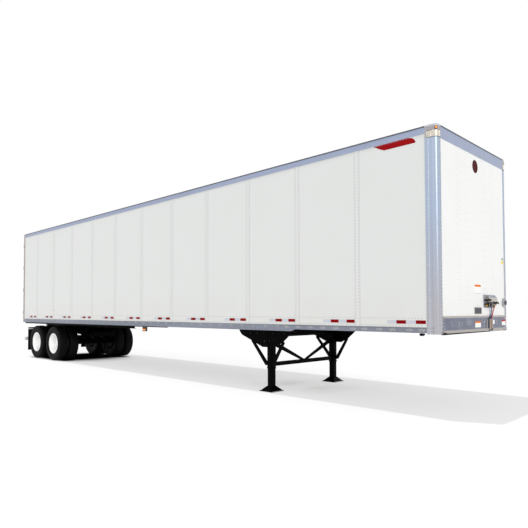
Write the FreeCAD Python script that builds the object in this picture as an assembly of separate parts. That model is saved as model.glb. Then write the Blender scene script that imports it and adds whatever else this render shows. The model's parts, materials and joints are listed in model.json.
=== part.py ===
"""Dry van semi trailer, 48 ft by 102 in, with composite plate walls, swing doors and a sliding tandem.

Frame: +X points to the nose, +Y to the road side, +Z up. The origin is on the ground, at the middle of the
overall length and width. Lengths are millimetres. A "station" is a distance behind the nose plane.
"""

import FreeCAD, Part

import math
import os

# ---- driving dimensions ----------------------------------------------------------------------------------

LENGTH = 14630.0            # nose plane to rear frame, 48 ft
WIDTH = 2590.8              # over the rails, 102 in
HEIGHT = 4115.0             # ground to roof rail, 13 ft 6 in
NOSE_PROUD = 105.0          # what the air couplings stand ahead of the nose plane
DOOR_GEAR_PROUD = 62.0      # what the door hardware stands behind the rear frame

TYRE_RADIUS = 525.0
TYRE_WIDE = 280.0
TYRE_ROOM = 103.0           # from the tyres up to the crossmembers
TYRE_INSET = 25.4           # outer tyre's face, in from the rails
FLANK_SHARE = 0.477         # height of the tyre's widest line, from rim to tread
SHOULDER = (14.0, 30.0)     # in from the tyre's side and down from its tread
TREAD_EDGE = (36.0, 5.0)
BEAD_HIGH = 32.0
DUAL_GAP = 60.0             # between the two tyres of a pair
AXLE_GAP = 200.0            # between the tyres of the two axles
REAR_OVERHANG = 495.0       # behind the rear tyres

WALL = 12.0                 # plate wall, whole thickness
RAIL_LAP = 4.4              # rail and post flanges lap this much outside the wall
PANEL_PITCH = 1219.2        # one plate panel, 48 in
FIRST_SEAM = 1315.5         # station of the first seam's centre
SEAM_WIDE = 87.0
SEAM_THICK = 2.4
PANEL_GAP = 1.0             # between neighbouring panels, under the seam strip
EDGE_GAP = 0.5              # between neighbouring fixed pieces that do not bear on each other

RAIL_THICK = 25.4           # bottom rail
COUPLER_STEP = (2600.0, 2700.0)   # stations where the bottom rail slants from shallow to deep
TOP_RAIL_DEEP = 110.0
TOP_RAIL_WIDE = 55.0
LEDGE = 25.0                # the roof sheet's seat, inside the top rail
LEDGE_THICK = 12.0
WALL_UNDER_LEDGE = 2.0
ROOF_DOWN = 15.0            # roof sheet's seat under the rail's top
ROOF_SHEET = 3.0
ROOF_LAP = 20.0             # roof sheet over the rear frame
BOW_WIDE = 60.0
BOW_DEEP = 28.0
FIRST_BOW = 700.0

FLOOR_THICK = 35.0
BEAM_DEEP = 102.0           # crossmembers
BEAM_WIDE = 57.0
BEAM_FLANGE = 6.0
BEAM_WEB = 5.0
BEAM_PITCH = 304.8          # 12 in
FIRST_BEAM = 2760.0
SHALLOW_BEAMS = (2000.0, 2254.0, 2508.0)

POST_RADIUS = 62.0          # front corner posts
POST_THICK = 16.0
POST_SIDE_LAP = 116.0
POST_FRONT_LAP = 53.4
CAP_DEEP = 180.0            # corner castings, down from the roof
CAP_THICK = 22.0
HEADER_DEEP = 185.0

REAR_FRAME_DEEP = 100.0
REAR_POST_WIDE = 70.0
REAR_HEADER_DEEP = 150.0
DOOR_THICK = 40.0
DOOR_GAP = 8.0              # all round each door leaf
HINGE_BACK = 36.0           # hinge pin behind the rear face
HINGE_IN = 14.0             # hinge pin in from the rail's outside
HINGE_RADIUS = 12.0
HINGES = 4                  # per door
HINGE_END = 190.0           # first and last hinge from the doorway's ends, about
EAR_HIGH = 25.0
EAR_CLEAR = 1.0             # strap's knuckle to the ears, up and down
PIN_RADIUS = 7.0
PIN_CLEAR = 0.3
STRAP_THICK = 8.0
STRAP_PAD = 6.0             # between a strap and the door's face
STRAP_LONG = 360.0
STRAP_HIGH = 60.0
ROD_FROM_CENTRE = 330.0
ROD_RADIUS = 16.0
ROD_BACK = 34.0             # lock rod's axis behind the door's face
CAM_HIGH = 20.0
PRONG_CLEAR = 6.0           # keeper prongs to the lock rod's cam
PRONG = (40.0, 10.0, 50.0)  # how far back, how wide and how high
PRONG_FROM_DOOR = 20.0      # above and below the doorway
ROD_PAST_DOOR = 60.0        # lock rod's ends, past the doorway
GUIDE_HALF = 25.0           # lock rod's guides on the door
GUIDE_UP = 145.0
GUIDE_DOWN = 135.0
HANDLE_UP = 290.0           # above the floor
HANDLE_LONG = 420.0
HANDLE_HALF = 20.0
CATCH_AT = 380.0            # handle's catch, from the rod

KINGPIN_STATION = 914.4     # 36 in
KINGPIN_RADIUS = 25.4       # neck, 2 in across
KINGPIN_COLLAR = 35.7
KINGPIN_FLANGE = 36.5
KINGPIN_BASE = 60.0
NECK = (35.5, 71.0)         # start and end of the neck below the plate
KINGPIN_DROP = 86.0         # below the coupler plate
COUPLER_PLATE = 10.0
COUPLER_LONG = 1830.0
COUPLER_HALF = 640.0

LEG_STATION = 3454.0
LEG_INSET = 332.4           # leg's middle in from the rail's outside
LEG_TUBE = 127.0
LEG_WALL = 6.0
LEG_RADIUS = 20.0
LEG_CLEAR = 0.5             # between outer and inner leg
LEG_BOTTOM = 420.0          # collar under the outer leg
LEG_BAR = 29.0              # mounting bar between wing plates and crossmembers
LEG_BAR_HALF = 74.0
WING_THICK = 10.0
# Outlines of the wing plates: behind the leg's middle, above the leg's top.
REAR_WING = ((800.0, 0.0), (800.0, -15.0), (730.0, -89.0), (465.0, -186.0), (170.0, -304.0))
REAR_WING_FOOT = -304.0
FRONT_WING = ((-560.0, 0.0), (-560.0, -12.0), (-500.0, -73.0), (-345.0, -200.0), (-175.0, -287.0))
FRONT_WING_FOOT = -287.0
WING_LAP = 30.0             # how far a plate lies over the leg's outer face
BRACE_WIDE = 40.0
BRACE_FEET = (60.0, 110.0)  # where the wing braces meet the leg, above its collar
CROSS_HALF = 35.0           # bars between the legs
UPPER_AHEAD = 20.0          # upper bar's front, ahead of the leg's middle
LOWER_BAR = (44.0, 116.0)   # above the leg's collar
UPPER_BAR_FOOT = -114.0     # above the leg's top
ARM_ENDS = (-279.0, -179.0)     # V brace at the legs, above their top
ARM_THICK = 12.0
ARM_HALF = 30.0
SHAFT_RADIUS = 14.0
SHAFT_DOWN = 74.0
SHAFT_AHEAD = 37.0
GEARBOX = (75.0, 90.0, -244.0, -64.0)   # half length, width, bottom and top above the leg's top
CRANK_DOWN = 154.0
CRANK_LONG = 320.0
CRANK_DROP = 40.0
SHOE = 320.0
SHOE_THICK = 14.0
SHOE_HIGH = 95.0
INNER_LEG_DOWN = 300.0      # inner leg's top, under the outer leg's

RIM_RADIUS = 286.0
RIM_HALF = 120.0
RIM_LIP = 20.0
RIM_WALL = 10.0
RIM_EDGE = 10.0
DISC = 14.0
DISH = (70.0, 85.0)         # where the dish leaves the barrel, towards the mounting plane
DISC_FLAT = (165.0, 172.0)
HAND_HOLES = 10
HAND_HOLE_RADIUS = 26.0
PILOT = 110.0               # disc's centre hole
PILOT_CLEAR = 0.5
DRUM_RADIUS = 208.0
DRUM_WALL = 13.0
DRUM_WIDE = 295.0           # drum's open end, inboard of the mounting plane
DRUM_HEAD = ((65.0, 0.0), (45.0, 42.0))   # inboard of the mounting plane, down from the drum's outside
HUB_FLANGE = 162.0
# Hub's nose: outboard of the mounting plane, radius.
HUB_NOSE = ((34.0, 92.0), (140.0, 84.0), (146.0, 66.0), (172.0, 62.0))
HUB_CAP = 22.0
HUB_INNER = 80.0            # bearing's inner end, inboard of the mounting plane
SPINDLE = 42.0
BEARING_CLEAR = 0.5
SPINDLE_END = 130.0         # outboard of the mounting plane
AXLE_TUBE = 63.5
AXLE_TUBE_END = 260.0       # inboard of the mounting plane
SHIELD = (3.0, 9.0)         # dust shield, into the drum
SHIELD_DOWN = 20.0
CAM_TUBE = 17.0
CAM_BEHIND = 105.0
CAN_RADIUS = 82.0           # brake chambers
CAN_LONG = 190.0
CAN_BAND = (90.0, 16.0)     # radius and width of the clamp round the can
CAN_UP = 75.0
CAN_FROM_SPRING = 200.0
CAN_FRONT = 110.0
SPRING_FROM_TYRE = 120.0    # spring's middle, inboard of the inner tyre
SPRING_WIDE = 76.0
LEAF = 18.0
LEAF_SHARES = (1.0, 0.7, 0.43)   # length of each leaf, top leaf first
SPRING_RADIUS = 3625.0
SPRING_END_GAP = 25.0       # top leaf's end to the equalizer's middle
SEAT_HIGH = 102.7           # spring seat over the axle's middle
SEAT_HALF = (75.0, 45.0)    # along the trailer and across it
SEAT_GAP = 0.3
CHEEK = 8.0                 # hanger's side plates
CHEEK_CLEAR = 8.0           # beside the spring
PIVOT_RADIUS = 25.0
PIVOT_OVER_SPRING = 68.0
# Equalizer: lap on each spring, height of its ends, its crown's half length and height over the pivot.
ROCKER = (70.0, 26.0, 42.0, 45.0)
ROD_PIN_RADIUS = 12.0
ROD_PIN_OVER_AXLE = 135.0
ROD_EYE = (28.0, 32.0)      # radius rod's eye: radius and half width
ROD_BAR_RADIUS = 18.0
ROD_FOOT = (20.0, 30.0, 5.0, 67.0)  # length, half width, bottom and top over the axle's middle
HANGER_TOPS = (110.0, 140.0, 100.0) # half lengths at the top: front, middle and rear hanger
HANGER_FEET = (45.0, 60.0, 50.0)    # half lengths at the foot
HANGER_ENDS = (-30.0, -30.0, 40.0)  # foot's height above the rod pins

SLIDE_TRAVEL = 2440.0       # 8 ft
SLIDE_GAP = 0.5
BODY_RAIL_DEEP = 113.0
BODY_RAIL_HALF = 40.0
BODY_RAIL_FLANGE = 10.0
BODY_RAIL_WEB = 8.0
BODY_RAIL_SPARE = 280.0     # rail ahead of the bogie at its foremost
BOGIE_RAIL_DEEP = 110.0
BOGIE_NOSE = 150.0          # side members, ahead of the front hanger
BOGIE_CROSS_HALF = 50.0     # crosswise members
BOGIE_CROSS_DROP = (0.0, 160.0, 160.0)  # deeper behind the air tank
CLIP_CLEAR = 6.0            # hold-down clips round the body rail's flange
CLIP_THICK = 10.0
CLIP_HALF = 60.0
CLIP_OVER = 24.0            # how far a clip reaches over the flange
FLAP_BEHIND = 180.0         # behind the rear tyres
FLAP_WIDE = 610.0
FLAP_INSET = 50.4           # flap's outer edge, in from the rails
FLAP_BOTTOM = 227.0
FLAP_THICK = 10.0
FLAP_BAR = (25.0, 60.0)     # bar ahead of the flap: length along the trailer and height
TANK_RADIUS = 110.0
TANK_FROM_SPRING = 190.0    # tank's ends, inboard of the springs
TANK_ROUND = 40.0
TANK_STRAP = 20.0           # half width

GUARD_INSET = 55.4          # rear impact guard's ends, in from the rails
GUARD = (545.0, 650.0)
GUARD_DEEP = 95.0
GUARD_POST_Y = 470.0
GUARD_POST_HALF = 45.0

# Nose equipment: heights are above the floor, lengths ahead of the nose plane.
BOX_Y = (270.0, 730.0)      # connector plate
BOX_HEIGHTS = (260.0, 465.0)
BOX_THICK = 6.0
HOOD_Y = (400.0, 730.0)
# Hood's side from the plate's top forward, down its front and back under it: length ahead and height.
HOOD = ((6.0, 462.0), (34.0, 425.0), (48.0, 363.0), (44.0, 352.0))
HOOD_BACK = 30.0            # the hood's deeper back, which carries the socket
HOOD_FOOT = 300.0           # under the hood's back, where the lines leave
SOCKET = (420.0, 310.0, 36.0, 52.0)         # y, height, radius and how far ahead
SERVICE_HAND = (315.0, 390.0, BOX_THICK)    # air coupling: y, top height and where its stem starts
SUPPLY_HAND = (624.0, 346.5, HOOD_BACK)
GLADHAND_RADIUS = 32.0
LINE_RADIUS = 6.0
LINE_AHEAD = 13.0
# Air and electric lines: y under the hood, half way down and at the foot.
LINES = ((480.0, 498.0, 504.0), (535.0, 575.0, 530.0), (700.0, 613.0, 556.0))
CHANNEL_Y = (465.0, 572.0)
CHANNEL_PROUD = 20.0
CHANNEL_DOWN = 48.0         # top of the line channel, under the sill's top
VENT = (-90.0, 150.0, 165.0, 260.0, 12.0)   # y from and to, height from and to, proud
HOLDER_INSET = 158.0        # document holder's middle, in from the rails
HOLDER_HEIGHT = 348.0
HOLDER_FLANGE = (75.5, 14.0)        # radius and how far ahead
HOLDER_BOSS = (45.0, 30.0)
HOLDER_FOOT = 40.0          # radius of its foot on the wall, beside the post's edge

MARKER_AHEAD = 30.0         # side marker's middle, ahead of half the trailer's length
# Bracket and lens: half length, inner and outer side in from the rail's face, bottom and top under the rail.
MARKER = ((85.0, 45.0, 15.0, 120.0, 0.0), (65.0, 15.0, 2.0, 105.0, 50.0))
TAIL_LAMPS = (315.4, 455.4, 595.4)  # in from the rails
TAIL_LAMP_RADIUS = 52.0
TAIL_LAMP_PROUD = 14.0
TAIL_LAMP_DOWN = 68.0       # under the floor's top

# ---- derived places --------------------------------------------------------------------------------------

NOSE = (LENGTH + DOOR_GEAR_PROUD - NOSE_PROUD) / 2.0
REAR = NOSE - LENGTH
HALF = WIDTH / 2.0
WALL_OUT = HALF - RAIL_LAP
WALL_IN = WALL_OUT - WALL
RAIL_IN = HALF - RAIL_THICK

BEAM_UNDER = 2.0 * TYRE_RADIUS + TYRE_ROOM
FLOOR_UNDER = BEAM_UNDER + BEAM_DEEP
FLOOR_TOP = FLOOR_UNDER + FLOOR_THICK
RAIL_BOTTOM = BEAM_UNDER - 3.0
RAIL_TOP = FLOOR_TOP - 28.0
WALL_FOOT = FLOOR_TOP - 62.0
COUPLER_RAIL_BOTTOM = FLOOR_UNDER - 70.0
COUPLER_UNDER = FLOOR_UNDER - 90.0
SILL_BOTTOM = BEAM_UNDER + 17.0
SILL_TOP = FLOOR_TOP + 130.0
CAP_BOTTOM = HEIGHT - CAP_DEEP
HEADER_BOTTOM = HEIGHT - HEADER_DEEP
ROOF_SEAT = HEIGHT - ROOF_DOWN
WALL_HEAD = ROOF_SEAT - LEDGE_THICK - WALL_UNDER_LEDGE

REAR_FRAME_FRONT = LENGTH - REAR_FRAME_DEEP
REAR_HEADER_BOTTOM = HEIGHT - REAR_HEADER_DEEP
DOORWAY_HALF = HALF - REAR_POST_WIDE

LEG_X = NOSE - LEG_STATION
LEG_Y = HALF - LEG_INSET
LEG_TOP = BEAM_UNDER - LEG_BAR

DUAL_SPACING = TYRE_WIDE + DUAL_GAP
MOUNT_Y = HALF - TYRE_INSET - TYRE_WIDE - DUAL_GAP / 2.0   # plane where the two discs of a pair meet
REAR_AXLE = LENGTH - TYRE_RADIUS - REAR_OVERHANG
AXLE_SPACING = 2.0 * TYRE_RADIUS + AXLE_GAP
FRONT_AXLE = REAR_AXLE - AXLE_SPACING
MID_BOGIE = (FRONT_AXLE + REAR_AXLE) / 2.0
AXLE_STATIONS = (FRONT_AXLE, REAR_AXLE)

SPRING_Y = MOUNT_Y - DUAL_GAP / 2.0 - TYRE_WIDE - SPRING_FROM_TYRE
SPRING_SPAN = AXLE_SPACING / 2.0 - SPRING_END_GAP
SEAT_TOP = TYRE_RADIUS + SEAT_HIGH
SPRING_AXIS = SEAT_TOP + SEAT_GAP + LEAF * len(LEAF_SHARES) + SPRING_RADIUS
SPRING_END_TOP = SPRING_AXIS - math.sqrt(SPRING_RADIUS ** 2 - SPRING_SPAN ** 2)
HANGER_STATIONS = (FRONT_AXLE - SPRING_SPAN + 10.0, MID_BOGIE, REAR_AXLE + SPRING_SPAN - 10.0)
HANGER_HALF = SPRING_WIDE / 2.0 + CHEEK_CLEAR
BOGIE_RAIL_HALF = HANGER_HALF + CHEEK / 2.0
PIVOT_Z = SPRING_END_TOP + PIVOT_OVER_SPRING
ROD_PIN_Z = TYRE_RADIUS + ROD_PIN_OVER_AXLE

FLAP_STATION = REAR_AXLE + TYRE_RADIUS + FLAP_BEHIND
BOGIE = (HANGER_STATIONS[0] - BOGIE_NOSE, FLAP_STATION + 25.0)
BODY_RAIL = (BOGIE[0] - SLIDE_TRAVEL - BODY_RAIL_SPARE, BOGIE[1] + 60.0)
BODY_RAIL_UNDER = BEAM_UNDER - BODY_RAIL_DEEP
BOGIE_TOP = BODY_RAIL_UNDER - SLIDE_GAP
BOGIE_UNDER = BOGIE_TOP - BOGIE_RAIL_DEEP
FLAP_TOP = BOGIE_UNDER + 5.5
FLAP_OUT = HALF - FLAP_INSET
TANK_HALF = SPRING_Y - TANK_FROM_SPRING


# ---- shape helpers ---------------------------------------------------------------------------------------

def V(x, y, z):
    return FreeCAD.Vector(x, y, z)


def X(station):
    """x of a station, which is a distance behind the nose plane."""
    return NOSE - station


def block(stations, ys, zs):
    x_low = X(max(stations))
    size = (abs(stations[1] - stations[0]), ys[1] - ys[0], zs[1] - zs[0])
    return Part.makeBox(*size, V(x_low, ys[0], zs[0]))


def extrude(points, along):
    wire = Part.makePolygon(points + [points[0]])
    return Part.Face(wire).extrude(along)


def along_x(outline, stations):
    """Extrudes a (y, z) outline between two stations."""
    start, end = min(stations), max(stations)
    return extrude([V(X(end), y, z) for y, z in outline], V(end - start, 0, 0))


def along_y(outline, ys):
    """Extrudes a (station, z) outline between two values of y."""
    return extrude([V(X(s), ys[0], z) for s, z in outline], V(0, ys[1] - ys[0], 0))


def rod(start, end, radius):
    return Part.makeCylinder(radius, end.sub(start).Length, start, end.sub(start))


def rod_y(station, z, ys, radius):
    return Part.makeCylinder(radius, ys[1] - ys[0], V(X(station), ys[0], z), V(0, 1, 0))


def fuse(solids):
    return solids[0].fuse(solids[1:]).removeSplitter()


def mirrored(solid):
    return solid.mirror(V(0, 0, 0), V(0, 1, 0))


def both_sides(solids):
    return solids + [mirrored(s) for s in solids]


def turned(profile, station, z):
    """Revolves a closed (y, radius) profile about the crosswise axis at a station and height.

    A profile entry with four numbers is an arc: the point it passes through, then its end."""
    edges = []
    last = profile[0]
    for entry in profile[1:] + [profile[0]]:
        end = entry[-2:]
        a, b = V(X(station), last[0], z + last[1]), V(X(station), end[0], z + end[1])
        if len(entry) == 4:
            through = V(X(station), entry[0], z + entry[1])
            edges.append(Part.Arc(a, through, b).toShape())
        else:
            edges.append(Part.LineSegment(a, b).toShape())
        last = end
    face = Part.Face(Part.Wire(edges))
    return face.revolve(V(X(station), 0, z), V(0, 1, 0), 360)


def turned_upright(profile, x, z):
    """Revolves a closed (radius, height) profile about an upright axis in the trailer's middle plane."""
    points = [V(x + r, 0, z + dz) for r, dz in profile]
    face = Part.Face(Part.makePolygon(points + [points[0]]))
    return face.revolve(V(x, 0, z), V(0, 0, 1), 360)


def save(name, solids):
    shape = solids[0] if len(solids) == 1 else Part.makeCompound(solids)
    shape.exportStep(f"parts/{name}.step")


# ---- body ------------------------------------------------------------------------------------------------

def seam_stations():
    """Seams at the panel pitch, as long as a fair part of a panel is left before the rear frame."""
    last = REAR_FRAME_FRONT - PANEL_PITCH / 4.0
    count = int((last - FIRST_SEAM) / PANEL_PITCH) + 1
    return [FIRST_SEAM + i * PANEL_PITCH for i in range(count)]


def side_wall():
    """The road side wall: one plate per panel, meeting under the seam strips."""
    edges = [POST_RADIUS + 2.0] + seam_stations() + [REAR_FRAME_FRONT]
    plates = []
    for start, end in zip(edges, edges[1:]):
        span = (start + PANEL_GAP / 2.0, end - PANEL_GAP / 2.0)
        plates.append(block(span, (WALL_IN, WALL_OUT), (WALL_FOOT, WALL_HEAD)))
    return plates


def seam_strips():
    top = HEIGHT - TOP_RAIL_DEEP - EDGE_GAP
    strips = []
    for seam in seam_stations():
        span = (seam - SEAM_WIDE / 2.0, seam + SEAM_WIDE / 2.0)
        strips.append(block(span, (WALL_OUT, WALL_OUT + SEAM_THICK), (RAIL_TOP + EDGE_GAP, top)))
    return strips


def top_rail():
    """Outer flange over the wall, bevelled top, ledge for the roof sheet and an inner leg."""
    inner, bevel, leg = HALF - TOP_RAIL_WIDE, 12.0, 6.0
    ledge, under = inner - LEDGE, ROOF_SEAT - LEDGE_THICK
    outline = [
        (WALL_OUT, HEIGHT - TOP_RAIL_DEEP), (HALF, HEIGHT - TOP_RAIL_DEEP), (HALF, HEIGHT - bevel),
        (HALF - bevel, HEIGHT), (inner, HEIGHT), (inner, ROOF_SEAT), (ledge, ROOF_SEAT), (ledge, under),
        (WALL_IN - leg, under), (WALL_IN - leg, under - 48.0), (WALL_IN, under - 48.0), (WALL_IN, under),
        (WALL_OUT, under),
    ]
    return along_x(outline, (POST_RADIUS + POST_SIDE_LAP, REAR_FRAME_FRONT))


def bottom_rail():
    """Deep extrusion with a slot for the wall's foot, shallower ahead of the landing gear."""
    outline = [
        (RAIL_IN, RAIL_BOTTOM), (HALF, RAIL_BOTTOM), (HALF, RAIL_TOP), (WALL_OUT, RAIL_TOP),
        (WALL_OUT, WALL_FOOT), (WALL_IN, WALL_FOOT), (WALL_IN, FLOOR_TOP), (RAIL_IN, FLOOR_TOP),
    ]
    rail = along_x(outline, (POST_RADIUS + POST_SIDE_LAP, REAR_FRAME_FRONT))
    step = [
        (0.0, RAIL_BOTTOM - 5.0), (COUPLER_STEP[1], RAIL_BOTTOM - 5.0), (COUPLER_STEP[1], RAIL_BOTTOM),
        (COUPLER_STEP[0], COUPLER_RAIL_BOTTOM), (0.0, COUPLER_RAIL_BOTTOM),
    ]
    return rail.cut(along_y(step, (RAIL_IN - 5.0, HALF + 5.0)))


def corner_section(radius, thick, bottom, top):
    """A quarter round corner, with flanges that lap the side wall and the front wall."""
    cx, cy = NOSE - radius, HALF - radius
    outer = Part.makeCylinder(radius, top - bottom, V(cx, cy, bottom), V(0, 0, 1), 90)
    inner = Part.makeCylinder(radius - thick, top - bottom, V(cx, cy, bottom), V(0, 0, 1), 90)
    side = Part.makeBox(POST_SIDE_LAP, RAIL_LAP, top - bottom, V(cx - POST_SIDE_LAP, WALL_OUT, bottom))
    front_foot = V(NOSE - RAIL_LAP, cy - POST_FRONT_LAP, bottom)
    front = Part.makeBox(RAIL_LAP, POST_FRONT_LAP, top - bottom, front_foot)
    return fuse([outer.cut(inner), side, front])


def corner_post():
    return corner_section(POST_RADIUS, POST_THICK, SILL_BOTTOM, CAP_BOTTOM - 0.3)


def corner_cap():
    """Cast corner with a closed top, over the post."""
    shell = corner_section(POST_RADIUS, CAP_THICK, CAP_BOTTOM, HEIGHT)
    cx, cy, under = NOSE - POST_RADIUS, HALF - POST_RADIUS, HEIGHT - LEDGE_THICK
    corner = Part.makeCylinder(POST_RADIUS, LEDGE_THICK, V(cx, cy, under), V(0, 0, 1), 90)
    side = block((POST_RADIUS, POST_RADIUS + POST_SIDE_LAP), (HALF - TOP_RAIL_WIDE, HALF), (under, HEIGHT))
    front = block((0.0, TOP_RAIL_WIDE), (cy - POST_FRONT_LAP, cy), (under, HEIGHT))
    return fuse([shell, corner, side, front])


def front_half():
    """Half width of the nose between the corner posts' flanges."""
    return HALF - POST_RADIUS - POST_FRONT_LAP - EDGE_GAP


def front_wall():
    edge = HALF - POST_RADIUS
    return block((RAIL_LAP, RAIL_LAP + WALL), (-edge, edge), (WALL_FOOT + LEDGE_THICK, WALL_HEAD))


def front_header():
    """Crosswise rail over the front wall's top edge, with a ledge for the roof sheet behind it."""
    under = HEIGHT - LEDGE_THICK
    span = (-front_half(), front_half())
    outer = block((0.0, RAIL_LAP), span, (HEADER_BOTTOM, under))
    top = block((0.0, TOP_RAIL_WIDE), span, (under, HEIGHT))
    seat = block((RAIL_LAP + WALL, TOP_RAIL_WIDE), span, (ROOF_SEAT, under))
    ledge = block((RAIL_LAP + WALL, TOP_RAIL_WIDE + LEDGE), span, (ROOF_SEAT - LEDGE_THICK, ROOF_SEAT))
    return fuse([outer, top, seat, ledge])


def front_sill():
    """Crosswise rail at the foot of the nose, with a lap over the wall and a foot under it."""
    span = (-front_half(), front_half())
    outer = block((0.0, RAIL_LAP), span, (SILL_BOTTOM, SILL_TOP))
    foot = block((RAIL_LAP, 2.0 * RAIL_LAP + RAIL_THICK), span, (SILL_BOTTOM + 6.0, WALL_FOOT + LEDGE_THICK))
    return fuse([outer, foot])


def roof_sheet():
    half = HALF - TOP_RAIL_WIDE - EDGE_GAP
    span = (TOP_RAIL_WIDE + EDGE_GAP, REAR_FRAME_FRONT + ROOF_LAP)
    return block(span, (-half, half), (ROOF_SEAT, ROOF_SEAT + ROOF_SHEET))


def roof_bows():
    half, pitch = HALF - TOP_RAIL_WIDE - LEDGE - EDGE_GAP, 2.0 * BEAM_PITCH
    count = int((REAR_FRAME_FRONT - REAR_FRAME_DEEP - FIRST_BOW) / pitch) + 1
    bows = []
    for i in range(count):
        middle = FIRST_BOW + i * pitch
        span = (middle - BOW_WIDE / 2.0, middle + BOW_WIDE / 2.0)
        bows.append(block(span, (-half, half), (ROOF_SEAT - BOW_DEEP, ROOF_SEAT)))
    return bows


def floor():
    """Deck from wall to wall, with its front corners rounded to fit inside the corner posts."""
    half, edge = RAIL_IN - EDGE_GAP, HALF - POST_RADIUS
    radius = POST_RADIUS - POST_THICK - EDGE_GAP
    deck = block((POST_RADIUS, REAR_FRAME_FRONT), (-half, half), (FLOOR_UNDER, FLOOR_TOP))
    front = block((RAIL_LAP + WALL, POST_RADIUS), (-edge, edge), (FLOOR_UNDER, FLOOR_TOP))
    round_end = Part.makeCylinder(radius, FLOOR_THICK, V(X(POST_RADIUS), edge, FLOOR_UNDER), V(0, 0, 1), 90)
    round_end = round_end.common(block((RAIL_LAP + WALL, POST_RADIUS), (0.0, half), (FLOOR_UNDER, FLOOR_TOP)))
    return fuse([deck, front, round_end, mirrored(round_end)])


def beam(station, half, under, top):
    """I-beam crossmember."""
    w, flange, web = BEAM_WIDE / 2.0, BEAM_FLANGE, BEAM_WEB / 2.0
    outline = [
        (-w, under), (w, under), (w, under + flange), (web, under + flange), (web, top - flange),
        (w, top - flange), (w, top), (-w, top), (-w, top - flange), (-web, top - flange),
        (-web, under + flange), (-w, under + flange),
    ]
    return along_y([(station + s, z) for s, z in outline], (-half, half))


def crossmembers():
    count = int((REAR_FRAME_FRONT - BEAM_WIDE - FIRST_BEAM) / BEAM_PITCH) + 1
    deep = [beam(FIRST_BEAM + i * BEAM_PITCH, RAIL_IN, BEAM_UNDER, FLOOR_UNDER) for i in range(count)]
    return deep + [beam(s, RAIL_IN, COUPLER_RAIL_BOTTOM, FLOOR_UNDER) for s in SHALLOW_BEAMS]


def coupler():
    """Fifth wheel plate, narrower than the body, under crosswise beams that reach both bottom rails."""
    half, top, wide, pitch = COUPLER_HALF, COUPLER_UNDER + COUPLER_PLATE, 60.0, 340.0
    parts = [block((36.0, COUPLER_LONG), (-half, half), (COUPLER_UNDER, top))]
    count = int((COUPLER_LONG - 2.0 * wide) / pitch) + 1
    for i in range(count):
        start = wide + i * pitch
        span = (start, start + wide)
        reach = HALF - POST_RADIUS if start < POST_RADIUS + POST_SIDE_LAP else RAIL_IN
        parts.append(block(span, (-half, half), (top, FLOOR_UNDER)))
        parts.append(block(span, (-reach, reach), (COUPLER_RAIL_BOTTOM + 5.0, FLOOR_UNDER)))
    hole = Part.makeCylinder(KINGPIN_FLANGE + PIN_CLEAR, 40.0, V(X(KINGPIN_STATION), 0, COUPLER_UNDER - 20.0))
    return fuse(parts).cut(hole)


def kingpin():
    """Kingpin: a base on the plate's top, a flange through the plate, the neck and the lower collar."""
    x, z, base = X(KINGPIN_STATION), COUPLER_UNDER, KINGPIN_BASE
    profile = [
        (0.0, COUPLER_PLATE + 15.0), (base, COUPLER_PLATE + 15.0), (base, COUPLER_PLATE),
        (KINGPIN_FLANGE, COUPLER_PLATE), (KINGPIN_FLANGE, -NECK[0]), (KINGPIN_RADIUS, -NECK[0]),
        (KINGPIN_RADIUS, -NECK[1]), (KINGPIN_COLLAR, -NECK[1]), (KINGPIN_COLLAR, 4.0 - KINGPIN_DROP),
        (KINGPIN_COLLAR - 4.0, -KINGPIN_DROP), (0.0, -KINGPIN_DROP),
    ]
    return turned_upright(profile, x, z)


# ---- rear frame and doors --------------------------------------------------------------------------------

def rear_frame():
    """Posts, header and sill, with a keeper of two prongs for each end of the lock rods."""
    frame = block((REAR_FRAME_FRONT, LENGTH), (-HALF, HALF), (RAIL_BOTTOM, HEIGHT))
    doorway = block((REAR_FRAME_FRONT - 10.0, LENGTH + 10.0), (-DOORWAY_HALF, DOORWAY_HALF),
                    (FLOOR_TOP, REAR_HEADER_BOTTOM))
    slot_half, slot_end = HALF - TOP_RAIL_WIDE, REAR_FRAME_FRONT + ROOF_LAP + EDGE_GAP
    roof_slot = block((REAR_FRAME_FRONT - 1.0, slot_end), (-slot_half, slot_half), (ROOF_SEAT, HEIGHT + 1.0))
    back, wide, high = PRONG
    inner = ROD_RADIUS + PRONG_CLEAR
    prongs = []
    for low in (FLOOR_TOP - high - PRONG_FROM_DOOR, REAR_HEADER_BOTTOM + PRONG_FROM_DOOR):
        for y in (ROD_FROM_CENTRE - inner - wide, ROD_FROM_CENTRE + inner):
            prongs.append(block((LENGTH, LENGTH + back), (y, y + wide), (low, low + high)))
    return fuse([frame.cut(doorway).cut(roof_slot)] + both_sides(prongs))


def hinge_axis():
    return X(LENGTH + HINGE_BACK), HALF - HINGE_IN


def hinge_heights():
    low, high = FLOOR_TOP + HINGE_END, REAR_HEADER_BOTTOM - HINGE_END - 45.0
    return [low + i * (high - low) / (HINGES - 1) for i in range(HINGES)]


def hinge_butts():
    """Two ears and a pin at each hinge, carried by the rear post."""
    x, y = hinge_axis()
    half = STRAP_HIGH / 2.0 + EAR_CLEAR
    reach = half + EAR_HIGH
    pieces = []
    for z in hinge_heights():
        parts = [Part.makeCylinder(PIN_RADIUS, 2.0 * reach, V(x, y, z - reach))]
        for low in (z - reach, z + half):
            parts.append(Part.makeCylinder(HINGE_RADIUS, EAR_HIGH, V(x, y, low)))
            parts.append(Part.makeBox(HINGE_BACK, 2.0 * HINGE_RADIUS, EAR_HIGH, V(x, y - HINGE_RADIUS, low)))
        pieces.append(fuse(parts))
    return pieces


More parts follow.
